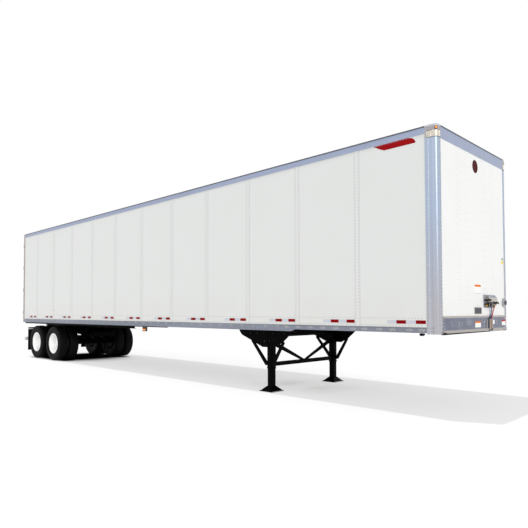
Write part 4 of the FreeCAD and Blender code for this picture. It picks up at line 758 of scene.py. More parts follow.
def corner_castings():
    """Each corner casting: top plate, ribbed block above the post, and a marker lamp under the plate."""
    shape, lamps, lenses = Shape(), Shape(), Shape()
    foot = low("front_corner_caps").z
    side_reach, front_reach = NOSE - low("front_corner_caps").x, HALF - high("front_header").y
    corner_band(shape, TOP - 0.026, TOP, 0.0045, side_reach, front_reach, 1)
    corner_band(shape, foot + 0.006, foot + 0.086, 0.004, side_reach - 0.055, front_reach - 0.012)
    # The thin dark bands above and below the ribbed block are painted shade.
    for z_low, z_high, proud, slot in ((0.084, 0.092, 0.0062, 0), (0.092, 0.1, 0.005, 2),
                                       (0.002, 0.008, 0.006, 0), (-0.003, 0.002, 0.005, 2)):
        corner_band(shape, foot + z_low, foot + z_high, proud, side_reach - 0.05, front_reach - 0.008, slot)
    for x in (NOSE - 0.148, NOSE - 0.1):
        shape.block((x, HALF, foot + 0.004), (x + 0.016, HALF + 0.0078, foot + 0.092), 0.003)
    shape.block((NOSE, HALF - 0.092, foot + 0.004), (NOSE + 0.0078, HALF - 0.076, foot + 0.092), 0.003)
    each(shape.dome, NOSE - 0.165, HALF, (foot + 0.03, foot + 0.072, foot + 0.125), OUT, 0.0075, 0.0032)
    turn = Vector((1, 1, 0)).normalized()
    base = Vector((NOSE - POST_ROUND, HALF - POST_ROUND, foot + 0.126)) + turn * POST_ROUND
    lamps.disc(base - turn * 0.004, turn, 0.023, 0.008, 0.002, 20, 0.003)
    lenses.lathe(base, turn, [(0, 0), (0, 0.018), (0.008, 0.017), (0.012, 0.013), (0.0142, 0.007),
                              (0.015, 0)], 20)
    piece("corner_castings", "cast_corner", shape.both(), CAST_BAND, CAST_GREY, SHADE_LINE)
    piece("corner_lamp_bases", "cast_corner", lamps.both(), BLACK_PLASTIC)
    piece("corner_lamp_lenses", "amber_lens", lenses.both(), AMBER)


def front_wall_rivets():
    """Upright rows over the front wall's posts, left out behind the connector plate."""
    shape = Shape()
    box_low, box_high = low("nose_box"), high("nose_box")
    for rows, gap in (((-0.566, 0.713, -1.165, 1.165), 1), ((-0.243, 0.272, 0.39, 0.6, -0.665, -0.347), 2)):
        heights = steps(high("front_sill").z + 0.03, low("front_header").z - 0.03, gap * RIVET_PITCH)
        for y, z in product(rows, heights):
            if not (box_low.y - 0.01 < y < box_high.y + 0.01 and box_low.z - 0.01 < z < box_high.z + 0.01):
                shape.dome((FRONT_WALL, y, z), AHEAD, RIVET)
    piece("front_wall_rivets", "wall_plate", shape, RIVET_PAINTED)


def front_sill_details():
    """Light riveted flange along the sill's head, a rounded lip along its foot, and rivet groups between."""
    shape, rivets, under = Shape(), Shape(), Shape()
    span, top, foot = high("front_sill").y, high("front_sill").z, low("front_sill").z
    shape.block((NOSE - 0.0005, -span, top - 0.026), (NOSE + 0.0022, span, top + 0.002), 0.0009)
    lip = [(0.0, 0.052), (0.004, 0.05), (0.0075, 0.042), (0.0085, 0.028), (0.0075, 0.012), (0.004, 0.003),
           (0.0, 0.0)]
    shape.prism([(NOSE + out, -span, foot + up) for out, up in lip], (0, 2 * span, 0))
    corner_band(shape, foot + 0.003, foot + 0.048, 0.0075, 0.075, HALF - span)
    rivets.rivets((NOSE + 0.0022, 0.02 - span, top - 0.012), AHEAD, 1.5 * RIVET_PITCH, 0.0065, y=span - 0.02)
    for columns, rows in SILL_GROUPS:
        each(rivets.dome, NOSE, columns, rows, AHEAD, SILL_RIVET)
    for y in (-1.145, 1.145):
        rivets.rivets((NOSE, y, foot + 0.075), AHEAD, 0.045, SILL_RIVET, z=top - 0.05)
    wedge = [(-1.176, -0.01), (-1.176, 0.024), (-1.105, 0.022), (-1.05, 0.006), (0.5, 0.002), (0.5, -0.004)]
    under.prism([(NOSE - 0.03, y, foot + up) for y, up in wedge], (0.0425, 0, 0))
    under.block((NOSE - 0.03, 0.5, foot - 0.003), (NOSE - 0.002, 1.1, foot + 0.0005), 0.001)
    under.block((NOSE - 0.03, 1.1, foot - 0.003), (NOSE + 0.0095, 1.2, foot + 0.008), 0.002)
    piece("sill_flange_and_lip", "aluminium_rail", shape, SILL_PALE)
    piece("sill_rivets", "aluminium_rail", rivets, RIVET_BEIGE)
    piece("sill_under_strip", "dark_steel", under, BLACK_STEEL)


def under_rail_details():
    """Small black pads under the rails near the nose; a black strip under each rail, for crossmember ends and
    painted shade.
    """
    pads, strips = Shape(), Shape()
    back, front, under, foot = NOSE - 0.2935, NOSE - 0.2435, RAIL_SHALLOW - 0.008, RAIL_SHALLOW - 0.034
    pads.prism([(x, HALF - 0.006, z) for x, z in (
        (back, under), (front, under), (front, foot + 0.008), (front - 0.006, foot), (back + 0.006, foot),
        (back, foot + 0.008))], (0, -0.07, 0))
    pads.both()
    each(pads.bolt, (back + 0.013, front - 0.013), mirrored(HALF - 0.04), foot, DOWN, 0.01)
    # The black strip under the rail stands for the crossmember ends and, in part, painted shade under the
    # floor.
    foot = low("bottom_rails").z
    strips.block((low("bottom_rails").x + 0.1, HALF - 0.004, foot - 0.036),
                 (high("slider_rails").x, HALF - 0.034, foot + 0.0005), 0.002)
    piece("rail_pads", "dark_steel", pads, BLACK_STEEL)
    piece("rail_under_shade_strips", "dark_steel", strips.both(), BLACK_STEEL)


def roof_details():
    """Rivet rows and a sealed joint over every fourth roof bow, and along the roof's edges."""
    rivets, joints = Shape(), Shape()
    top, edge = high("roof_sheet").z, high("roof_sheet").y - 0.014
    front, back = high("roof_sheet").x - 0.014, low("roof_sheet").x + 0.02
    row = {"pitch": 2 * RIVET_PITCH, "radius": 0.006}
    joints.block((front, edge + 0.013, top - 0.0005), (back, edge + 0.004, top + 0.0015), 0.001)
    joints.both()
    for y in mirrored(edge):
        rivets.rivets((front, y, top), UP, x=back, **row)
    bows = SEAMS[2::4]
    for x in [front] + [bow + offset for bow in bows for offset in (-0.018, 0.018)]:
        rivets.rivets((x, -edge, top), UP, y=edge, **row)
    for x, half, thick in [(front + 0.01, 0.004, 0.0015), (back - 0.012, 0.004, 0.0015)] + [
            (bow, 0.012, 0.0012) for bow in bows]:
        joints.block((x - half, -edge, top - 0.0005), (x + half, edge, top + thick), 0.001)
    piece("roof_rivets", "aluminium_rail", rivets, RIVET_BRIGHT)
    piece("roof_joints", "aluminium_rail", joints, SEALANT_PALE)


def plates_and_labels():
    """Blank plates and labels, each a little proud of what it is stuck to."""
    labels, plate, banner = Shape(), Shape(), Shape()
    wall, sill = FRONT_WALL, NOSE + 0.0002
    for x, y_low, y_high, z_low, z_high, slot in (
            (wall, -0.06, 0.17, 1.765, 1.874, 0), (wall, -0.06, 0.17, 1.874, 1.906, 1),
            (wall + 0.0002, -0.06, 0.17, 1.768, 1.773, 4), (wall, 1.06, 1.148, 2.3, 2.347, 3),
            (sill, -0.07, 0.145, 1.243, 1.311, 0), (sill, -0.07, 0.145, 1.311, 1.336, 1),
            (sill, 1.035, 1.205, 1.258, 1.322, 0), (sill, 1.035, 1.205, 1.322, 1.35, 2),
            (sill + 0.0022, 0.635, 0.705, 1.285, 1.352, 0)):
        labels.block((x - 0.0004, y_low, z_low), (x + 0.0009, y_high, z_high), 0.0003, slot)
    labels.block((wall - 0.0004, 1.085, 2.365), (wall + 0.012, 1.125, 2.395), 0.003, 4)
    x = NOSE - 12.32
    for z_low, z_high, slot in ((1.455, 1.52, 0), (1.52, 1.545, 1)):
        labels.block((x, 0.0004 - WALL, z_low), (x + 0.12, -0.0009 - WALL, z_high), 0.0003, slot)
    plate.lathe((wall - 0.0005, 0.02, 3.758), AHEAD, [(0, 0), (0, 0.102), (0.0018, 0.1025), (0.003, 0.1),
                                                      (0.0022, 0.09), (0.0028, 0.0)], 48)
    tip = [(1.0045, 4.0), (0.9535, 3.972), (0.8935, 3.938), (0.8235, 3.9085), (0.3385, 3.9085),
           (0.3155, 3.915), (0.3215, 3.935), (0.3385, 3.96), (0.3635, 3.982), (0.3985, 3.997),
           (0.4435, 4.0025)]
    banner.prism([(NOSE - back, WALL - 0.0004, z) for back, z in tip], (0, 0.0016, 0))
    piece("labels", "wall_plate", labels, LABEL, LABEL_ORANGE, LABEL_RED, TAG_YELLOW, TAG_GREY)
    piece("round_plate", "wall_plate", plate, MAROON)
    piece("banner_plates", "wall_plate", banner.both(), BANNER)


# ---- nose equipment --------------------------------------------------------------------------------------

def nose_connectors():
    """Hood, socket lid, couplings with their seals, plug domes and screws on the connector plate."""
    box_low, box_high = low("nose_box"), high("nose_box")
    face, hood_start = NOSE + 0.006, 0.4
    metal, black, seals, hood = Shape(), Shape(), Shape(), Shape()
    each(metal.bolt, face, (box_low.y + 0.014, box_high.y - 0.014), (box_low.z + 0.014, box_high.z - 0.012),
         AHEAD, 0.009)
    # Thin skins over the hood's front, the face under it, the plate beside it, and the hood's side.
    across = (hood_start - 0.001, box_high.y - hood_start + 0.002)
    for points, (start, wide), slot in (
            ([(0.034, 0.425), (0.048, 0.363), (0.0497, 0.3632), (0.0357, 0.4254)], across, 0),
            ([(0.044, 0.352), (0.048, 0.363), (0.0497, 0.3632), (0.0455, 0.3505)], across, 0),
            ([(0.03, 0.352), (0.03, 0.3), (0.0315, 0.3), (0.0315, 0.352)], across, 1),
            ([(0.006, 0.3), (0.03, 0.3), (0.03, 0.352), (0.044, 0.352), (0.048, 0.363), (0.034, 0.425),
              (0.006, 0.462)], (hood_start, -0.0015), 0)):
        hood.prism([(NOSE + ahead, start, FLOOR_TOP + up) for ahead, up in points], (0, wide, 0), slot)
    hood.block((face - 0.001, box_low.y + 0.002, box_low.z + 0.002), (face + 0.0014, hood_start, 1.716),
               0.0005, 1)
    each(metal.dome, NOSE + 0.043, steps(hood_start + 0.03, box_high.y - 0.03, 0.09), FLOOR_TOP + 0.392,
         (1, 0, 0.22), 0.005)
    socket = Vector((NOSE + 0.05, 0.42, 1.6))
    black.ring(socket - Vector((0.041, 0, 0)), AHEAD, 0.0363, 0.0405, 0.034, 0.001, 28)
    lid = [(0, 0), (0, 0.044), (0.005, 0.044), (0.012, 0.04), (0.019, 0.028), (0.023, 0.011), (0.024, 0)]
    black.lathe(socket, AHEAD, lid, 28)
    metal.ring(socket - Vector((0.006, 0, 0)), AHEAD, 0.0365, 0.0455, 0.006, 0.0015, 28)
    # A pale metal disc on the lid's top: a painted highlight, the lid's glint.
    metal.disc(socket + Vector((0.012, 0.004, 0.016)), (1, 0, 0.4), 0.019, 0.005, 0.001, 20)
    metal.tube([socket + Vector((0.004, y, 0.036)) for y in (-0.02, 0.02)], 0.0035)
    reach = high("gladhands").x - 0.03
    for y, z in ((0.315, 1.671), (0.624, 1.6275)):
        hub = Vector((reach, y, z))
        seals.ring(hub + Vector((0, 0, 0.009)), UP, 0.012, 0.023, 0.007, 0.002, 22)
        black.turned(hub + Vector((-0.036, 0, -0.004)), AHEAD,
                     [(0, 0.0155), (0.012, 0.0155), (0.014, 0.013), (0.026, 0.013)], 6)
        metal.bolt(hub + Vector((0.01, 0.018, 0.009)), UP, 0.006, washer=False)
        black.block(hub + Vector((-0.012, -0.026, 0.009)), hub + Vector((0.022, -0.019, 0.018)), 0.002)
    metal.disc((reach + 0.026, 0.632, 1.613), (1, 0.6, -0.4), 0.011, 0.004)
    black.ring((face, 0.315, 1.668), AHEAD, 0.0122, 0.021, 0.012, 0.002, 6)
    black.ring((face + 0.022, 0.315, 1.668), AHEAD, 0.0122, 0.019, 0.01, 0.002, 18)
    black.disc((face, 0.3, 1.605), AHEAD, 0.016, 0.019, 0.003, 18, 0.004)
    seals.turned((face + 0.012, 0.673, FLOOR_TOP + 0.3), DOWN,
                 [(0, 0.014), (0.01, 0.014), (0.014, 0.011), (0.024, 0.011)])
    seals.turned((face, 0.366, 1.582), AHEAD, [(0, 0.015), (0.008, 0.015), (0.011, 0.012), (0.016, 0.012)])
    piece("hood_skin", "grey_plate", hood, HOOD_WARM, PLATE_SHADE)
    piece("connector_metal", "grey_plate", metal, STEEL_PALE)
    piece("connector_plugs", "gladhand_metal", black, BLACK_PLASTIC)
    piece("connector_seals", "gladhand_metal", seals, SEAL_YELLOW)


def line_channel_details():
    """Bright edges and a tan liner on the channel, the hook at its foot, and a painted shadow beside the thin
    upright strip.
    """
    trim, liner, hook = Shape(), Shape(), Shape()
    a, b = low("line_channel"), high("line_channel")
    for side, y in ((-1, a.y), (1, b.y)):
        trim.block((NOSE, y + side * 0.002, a.z + 0.004), (b.x + 0.0025, y - side * 0.02, b.z - 0.004),
                   0.0015)
        each(trim.bolt, NOSE, y + side * 0.014, (a.z + 0.03, b.z - 0.03), AHEAD, 0.006)
    z = a.z + 0.012
    trim.block((NOSE - 0.001, 0.381, z), (NOSE + 0.005, 0.407, b.z - 0.01), 0.001)
    # A black sheet beside the upright strip: its painted shadow.
    hook.block((NOSE - 0.001, 0.409, z), (NOSE + 0.002, 0.434, b.z - 0.01), 0.0008)
    hook.tube([(NOSE + ahead, y, z + up) for ahead, y, up in (
        (0.004, 0.47, 0.01), (0.026, 0.48, 0), (0.034, 0.505, -0.004), (0.032, 0.535, 0.004),
        (0.024, 0.585, 0.02))], 0.006)
    hook.disc((NOSE, 0.455, z + 0.01), AHEAD, 0.013, 0.005)
    liner.block((b.x - 0.001, a.y + 0.018, a.z + 0.008), (b.x + 0.0012, b.y - 0.018, b.z - 0.008), 0.0008)
    piece("channel_edges", "grey_plate", trim, SILL_PALE)
    piece("channel_liner", "grey_plate", liner, TAN)
    piece("channel_hook_and_shade", "grey_plate", hook, BLACK_PLASTIC)


def vent_details():
    """Pale frame round the vent and its louvres."""
    rims, slats = Shape(), Shape()
    a, b = low("front_vent"), high("front_vent")
    rim, lap, face = 0.012, 0.004, FRONT_WALL + 0.007
    for y_low, y_high, z_low, z_high in ((a.y - rim, a.y + lap, a.z - rim, b.z + rim),
                                         (b.y - lap, b.y + rim, a.z - rim, b.z + rim),
                                         (a.y, b.y, b.z - lap, b.z + rim), (a.y, b.y, a.z - rim, a.z + lap)):
        rims.block((FRONT_WALL, y_low, z_low), (face, y_high, z_high), 0.0015)
    each(rims.dome, face, (a.y - 0.5 * rim, b.y + 0.5 * rim), (a.z - 0.4 * rim, b.z + 0.4 * rim),
         AHEAD, 0.0032, 0.0015)
    for z in steps(a.z + 0.012, b.z - 0.014, 0.0135):
        slat = ((-0.002, 0), (0.006, -0.008), (0.0075, -0.0065), (-0.002, 0.003))
        slats.prism([(b.x + ahead, a.y + 0.006, z + up) for ahead, up in slat], (0, b.y - a.y - 0.012, 0))
    for y in steps(a.y + 0.06, b.y - 0.06, 0.06):
        slats.block((b.x - 0.002, y - 0.002, a.z + 0.005), (b.x + 0.0065, y + 0.002, b.z - 0.005), 0.001)
    piece("vent_frame", "black_plastic", rims, PLASTIC_PALE)
    piece("vent_louvres", "black_plastic", slats, VENT)


def holder_details():
    """Rings, cap and screws of the round document holder."""
    rings, cap = Shape(), Shape()
    a, b = low("document_holder"), high("document_holder")
    centre, outer = Vector((NOSE + 0.0135, (a.y + b.y) / 2, (a.z + b.z) / 2)), (b.y - a.y) / 2
    rings.ring(centre, AHEAD, outer - 0.012, outer, 0.0035, 0.001, 48)
    rings.ring(centre, AHEAD, 0.0455, 0.051, 0.004, 0.001, 40)
    for up, across in spokes(6, 0.058, 0):
        rings.dome(centre + Vector((0.0, across, up)), AHEAD, 0.0035, 0.002)
    front = Vector((b.x, centre.y, centre.z))
    cap.ring(front, AHEAD, 0.036, 0.0446, 0.004, 0.0012, 40)
    cap.turned(front, AHEAD, [(0, 0.036), (0.002, 0.034), (0.003, 0.012), (0.007, 0.01)], 40)
    cap.block(front + Vector((-0.016, -0.05, -0.01)), front + Vector((0.003, -0.042, 0.01)), 0.002)
    piece("holder_rings", "grey_plastic", rings, HOLDER)
    piece("holder_cap", "grey_plastic", cap, HOLDER_DARK)


# ---- wheels and tyres ------------------------------------------------------------------------------------

CORNERS = [(end, side, sign) for end in ("front", "rear") for side, sign in (("left", 1), ("right", -1))]


def wheel_centre(end, side="left"):
    a, b = low(f"tyres_{end}_{side}"), high(f"tyres_{end}_{side}")
    return Vector(((a.x + b.x) / 2, 0, (a.z + b.z) / 2))


GROOVE = 0.012
SHOULDER_CUT, RIB_CUT = 0.0085, 0.0035
LUGS = 64
# Shares of one lug's turn, and whether the tread is cut there.
LUG_STEPS = ((0.0, 0), (0.7, 0), (0.76, 1), (0.92, 1), (0.98, 0))


def crown(across):
    """Radius of the tread at a distance across from its middle."""
    return 0.525 - 0.42 * across ** 2


def tyre_section():
    """Half section of a tyre, from the bead to the middle of its tread: across, radius and kind of point."""
    flank = [(0.108, 0.2868), (0.1105, 0.29), (0.1125, 0.307), (0.118, 0.312), (0.1225, 0.318),
             (0.1225, 0.321), (0.1205, 0.325), (0.1245, 0.338), (0.125, 0.34), (0.124, 0.3415),
             (0.131, 0.365), (0.132, 0.3665), (0.1315, 0.369), (0.1375, 0.398), (0.1397, 0.414),
             (0.14, 0.417), (0.1385, 0.42), (0.1375, 0.44), (0.1385, 0.442), (0.137, 0.445),
             (0.133, 0.47), (0.129, 0.488)]
    shoulder = [(0.1275, 0.493), (0.121, 0.508), (0.112, 0.5165), (0.104, 0.52)]
    ribs = []
    for edge, groove in ((0.073, 0.064), (0.0275, 0.0185)):
        ribs += [(edge, crown(edge), "rib"), (edge - 0.002, crown(edge) - GROOVE, "deep"),
                 (groove + 0.002, crown(groove) - GROOVE, "deep"), (groove, crown(groove), "rib")]
    return [(w, r, "flank") for w, r in flank] + [(w, r, "lug") for w, r in shoulder] + ribs


def add_tyre(shape, centre):
    """A tyre about a centre: moulded flanks, shoulder lugs and grooved ribs with nicked edges."""
    half = tyre_section()
    section = half + [(-w, r, kind) for w, r, kind in reversed(half)]
    count, verts = len(section), []
    for lug, (share, cut) in product(range(LUGS), LUG_STEPS):
        turn = 2 * pi * (lug + share) / LUGS
        for w, r, kind in section:
            if cut and kind == "lug":
                r, w = r - SHOULDER_CUT, w * 0.978
            if cut and kind == "rib":
                r -= RIB_CUT
            verts.append((centre.x + r * sin(turn), centre.y + w, centre.z + r * cos(turn)))
    faces = []
    for a in range(0, len(verts), count):
        b = (a + count) % len(verts)
        faces += [(a + i, a + (i + 1) % count, b + (i + 1) % count, b + i) for i in range(count)]
    shape.add(verts, faces)


def tyres():
    for end, side, sign in CORNERS:
        shape, centre = Shape(), wheel_centre(end, side)
        for across in TYRE_PLANES:
            add_tyre(shape, Vector((centre.x, sign * across, centre.z)))
        made = piece(f"tread_{end}_{side}", "tyre_rubber", shape, TYRE, body=f"wheel_{end}_{side}", smooth=38)
        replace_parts(made, f"tyres_{end}_{side}")


def wheel_details():
    """Hub cap, nuts on their studs, hand hole valve and flange ring of each outer wheel."""
    hub = [(0.0, 0.1145), (0.017, 0.1125), (0.0215, 0.096), (0.1255, 0.088), (0.13, 0.0855), (0.1345, 0.07),
           (0.156, 0.0665), (0.16, 0.06), (0.1605, 0.0)]
    for end, side, sign in CORNERS:
        centre, out = wheel_centre(end, side), Vector((0, sign, 0))
        face = centre + out * WHEEL_FACE
        white, nuts = Shape(), Shape()
        white.lathe(face + out * 0.0006, out, [(0.0, 0.0)] + hub, 48)
        white.ring(face + out * 0.1275, out, 0.0885, 0.0905, 0.004, 0.001, 48)
        white.ring(centre + out * (TYRE_PLANES[1] + 0.1195), out, 0.277, 0.2855, 0.0022, 0.0008, 72)
        for ahead, up in spokes(6, 0.0775):
            nuts.bolt(face + out * 0.131 + Vector((ahead, 0, up)), out, 0.0085)
        for ahead, up in spokes(10, NUT_CIRCLE):
            stud = face + Vector((ahead, 0, up))
            nuts.disc(stud, out, 0.0215, 0.0035, 0.001, 20)
            nuts.disc(stud + out * 0.0035, out, 0.0185, 0.024, 0.004, 6, 0.003)
            nuts.disc(stud + out * 0.0275, out, 0.0105, 0.013, 0.001, 12)
        valve = face + Vector((sin(VALVE_TURN), 0, cos(VALVE_TURN))) * VALVE_CIRCLE
        nuts.tube([valve, valve + out * 0.03, valve + out * 0.05 + Vector((0.01, 0, 0.02))], 0.0042, 8)
        cap = valve + out * 0.049 + Vector((0.01, 0, 0.018))
        nuts.disc(cap, (0.01, 0.02 * sign, 0.02), 0.0062, 0.012, 0.001, 10)
        piece(f"hub_cover_{end}_{side}", "white_wheel", white, WHEEL, body=f"wheel_{end}_{side}")
        # Nuts, studs and valve take the warm grey that stands in as painted shade round the hub.
        piece(f"wheel_nuts_{end}_{side}", "white_wheel", nuts, NUT_SHADED, body=f"wheel_{end}_{side}")


# ---- bogie -----------------------------------------------------------------------------------------------

def spring_clamps():
    """U-bolts with their nuts over each spring, and pins in the hangers."""
    clamps, pins = Shape(), Shape()
    axles = [wheel_centre("front"), wheel_centre("rear")]
    for axle in axles:
        clamps.block((axle.x - 0.085, SPRING_Y - 0.058, axle.z + 0.158),
                     (axle.x + 0.085, SPRING_Y + 0.058, axle.z + 0.17), 0.003)
    clamps.both()
    for axle, along, y in product(axles, (-0.062, 0.062), mirrored(SPRING_Y - 0.047, SPRING_Y + 0.047)):
        foot = Vector((axle.x + along, y, axle.z - 0.085))
        clamps.tube([foot, foot + Vector((0, 0, 0.262))], 0.01)
        clamps.bolt(foot + Vector((0, 0, 0.012)), DOWN, 0.017)
        clamps.bolt(foot + Vector((0, 0, 0.245)), UP, 0.015)
    middle = (axles[0].x + axles[1].x) / 2
    for (x, z), out in product(((high("bogie_frame").x - 0.15, 0.66), (middle, 0.66), (middle, 0.79)), SIDES):
        pins.bolt((x, SPRING_Y + out * 0.0485, z), (0, out, 0), 0.02)
    piece("spring_clamps", "black_steel", clamps, BLACK_STEEL, body="bogie")
    piece("hanger_pins", "black_steel", pins.both(), BLACK_STEEL, body="bogie")


def tank_details():
    """Straps and bolts round the air tank, its end plugs and drain."""
    shape = Shape()
    a, b = low("air_tank"), high("air_tank")
    centre, radius = Vector(((a.x + b.x) / 2, 0, (a.z + b.z) / 2)), (b.z - a.z) / 2
    for y in (-0.2, 0.2):
        shape.ring(centre + Vector((0, y - 0.016, 0)), OUT, radius - 0.006, radius + 0.003, 0.032, 0.001, 40)
        shape.bolt(centre + Vector((radius - 0.001, y, 0.0)), AHEAD, 0.01)
    for side in SIDES:
        shape.bolt(centre + Vector((0, side * 0.339, 0)), (0, side, 0), 0.016)
    shape.tube([centre + Vector((0, -0.05, up - radius)) for up in (0.004, -0.018)], 0.008)
    piece("tank_straps", "black_steel", shape, STEEL_DARK, body="bogie")


def frame_bolts():
    """Bolt rows along the body rails and flap bars, and pale strips on the flap bars."""
    rails, bars = Shape(), Shape()
    a, b = low("slider_rails"), high("slider_rails")
    flange = mirrored(SPRING_Y - 0.028, SPRING_Y + 0.028)
    each(rails.bolt, steps(b.x - 0.06, a.x + 0.06, CROSSMEMBER_PITCH), flange, b.z - 0.0125, DOWN, 0.009,
         washer=False)
    back, front, wide, z = low("mud_flaps").x, high("mud_flaps").x, high("mud_flaps").y, high("mud_flaps").z
    bars.block((front + 0.024, 0.6, z - 0.016), (front + 0.0275, wide, z + 0.018), 0.001, 1)
    bars.block((back - 0.004, 0.6, z - 0.042), (back + 0.001, wide, z - 0.008), 0.001, 1)
    bars.both()
    across = mirrored(*steps(0.62, 1.16, 0.11))
    each(bars.bolt, back - 0.004, across, z - 0.025, BACK, 0.01)
    each(bars.bolt, front + 0.0275, across, z + 0.034, AHEAD, 0.009)
    piece("body_rail_bolts", "dark_steel", rails, STEEL_DARK)
    piece("flap_clamps", "black_steel", bars, STEEL_DARK, PLASTIC_PALE, body="bogie")


# ---- landing gear ----------------------------------------------------------------------------------------

def landing_details():
    """Bolts in the mounting bars and wing plates, shoe rims, bearing rings, and the gearbox's cover."""
    bolts, cover = Shape(), Shape()
    tube_low, tube_high = low("landing_leg_tubes"), high("landing_leg_tubes")
    wing_low, wing_high = low("landing_wing_plates"), high("landing_wing_plates")
    shoe_low, shoe_high = low("landing_feet"), high("landing_feet")
    x, half = (tube_low.x + tube_high.x) / 2, (tube_high.x - tube_low.x) / 2
    y = tube_high.y - half
    wing_face = y + half + 0.01
    for out, face in ((OUT, wing_face), (IN, wing_face - 0.01)):
        for dx, z in ((0.12, 1.09), (0.12, 0.96), (0.25, 1.08), (0.4, 1.09), (-0.12, 1.09), (-0.12, 0.93),
                      (-0.3, 1.08), (-0.48, 1.08), (-0.66, 1.09)):
            bolts.bolt((x + dx, face, z), out, LANDING_BOLT)
    bolts.dome((tube_high.x, y, 0.455), AHEAD, 0.007, 0.006, 8)
    each(bolts.dome, tube_high.x - 0.0035, y, (0.8, 1.0), AHEAD, 0.007, 0.006, 8)
    for side in SIDES:
        each(bolts.bolt, x, y + side * 0.0635, (1.085, 0.955), (0, side, 0), 0.011)
    shoe_in = shoe_high.y - 0.32
    for edge, out in ((shoe_low.x, -1), (shoe_high.x, 1)):
        cover.block((edge - 0.001 * out, shoe_in, 0.002), (edge + 0.0025 * out, shoe_high.y, 0.012), 0.001, 1)
    cover.ring((x + 0.037, y - 0.0638, 1.05), IN, 0.0145, 0.026, 0.02, 0.003, 20)
    bolts.both()
    cover.both()
    each(bolts.bolt, steps(wing_high.x - 0.04, wing_low.x + 0.04, 0.14), mirrored(y - 0.045, y + 0.045),
         wing_high.z - 0.029, DOWN, LANDING_BOLT)
    each(bolts.bolt, x + 0.06, mirrored(y - 0.075), 1.05, AHEAD, 0.006)
    each(cover.disc, (shoe_low.x + 0.03, shoe_high.x - 0.03), mirrored(shoe_in + 0.03, shoe_high.y - 0.03),
         0.0135, UP, 0.012, 0.003, 0.001, 14)
    face = wing_face + 0.094        # of the gearbox's cover, on the road side's leg only
    cover.block((x - 0.07, face - 0.005, 0.893), (x + 0.07, face, 1.047), 0.003)
    each(bolts.bolt, (x - 0.058, x, x + 0.058), face, (0.905, 1.035), OUT, 0.009)
    each(bolts.bolt, (x - 0.06, x + 0.06), face, (0.94, 1.0), OUT, 0.009)
    cover.ring((x, face, low("landing_drive").z + 0.09), OUT, 0.0145, 0.028, 0.008, 0.002, 24)
    piece("landing_bolts", "black_steel", bolts, STEEL_DARK)
    piece("landing_covers", "black_steel", cover, BLACK_STEEL, STEEL_PALE)


# ---- coupler, underside and side markers -----------------------------------------------------------------

def underside_details():
    """Plugs in the coupler plate round the kingpin, and bolts through the crossmembers' end clips."""
    plugs, clips = Shape(), Shape()
    x, z = (low("kingpin").x + high("kingpin").x) / 2, low("coupler_plate").z
    for along, y in spokes(8, 0.105):
        plugs.disc((x + along, y, z), DOWN, 0.014, 0.002, 0.0008, 18)
    along = steps(low("coupler_plate").x + 0.05, high("coupler_plate").x - 0.05, 0.17)
    each(plugs.disc, along, mirrored(0.42), z, DOWN, 0.011, 0.0015, 0.0006, 14)
    for x in steps(4.3, low("bottom_rails").x + 0.2, CROSSMEMBER_PITCH):
        each(clips.bolt, (x - 0.018, x + 0.018), mirrored(HALF - 0.075), low("crossmembers").z, DOWN, 0.007,
             washer=False)
    piece("coupler_plugs", "dark_steel", plugs, STEEL_DARK)
    piece("rail_clip_bolts", "dark_steel", clips, STEEL_DARK)


def marker_lamps():
    """Side marker under each bottom rail: black bracket with its bolts, and an amber lens."""
    brackets, lenses = Shape(), Shape()
    a, b = low("side_marker_lamps"), high("side_marker_lamps")
    x, z, half = (a.x + b.x) / 2, a.z, (b.x - a.x) / 2 - 0.026
    brackets.block((a.x, b.y - 0.043, z), (b.x, b.y - 0.013, b.z), 0.005)
    brackets.block((a.x + 0.01, b.y - 0.018, z), (b.x - 0.01, b.y - 0.008, z + 0.01), 0.003)
    brackets.block((a.x + 0.01, b.y - 0.018, z + 0.062), (b.x - 0.01, b.y - 0.004, z + 0.072), 0.003)
    each(brackets.bolt, (x - 0.055, x + 0.055), b.y - 0.013, b.z - 0.018, OUT, 0.009)
    lenses.block((x - half, b.y - 0.014, z + 0.018), (x + half, b.y, z + 0.058), 0.006)
    for flute in steps(x - half + 0.012, x + half - 0.012, 0.013):
        lenses.block((flute - 0.003, b.y - 0.003, z + 0.022), (flute + 0.003, b.y + 0.0012, z + 0.054), 0.002)
    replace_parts(piece("marker_brackets", "black_steel", brackets.both(), BLACK_PLASTIC), "side_marker_lamps")
    piece("marker_lenses", "amber_lens", lenses.both(), AMBER)


# ---- rear ------------------------------------------------------------------------------------------------

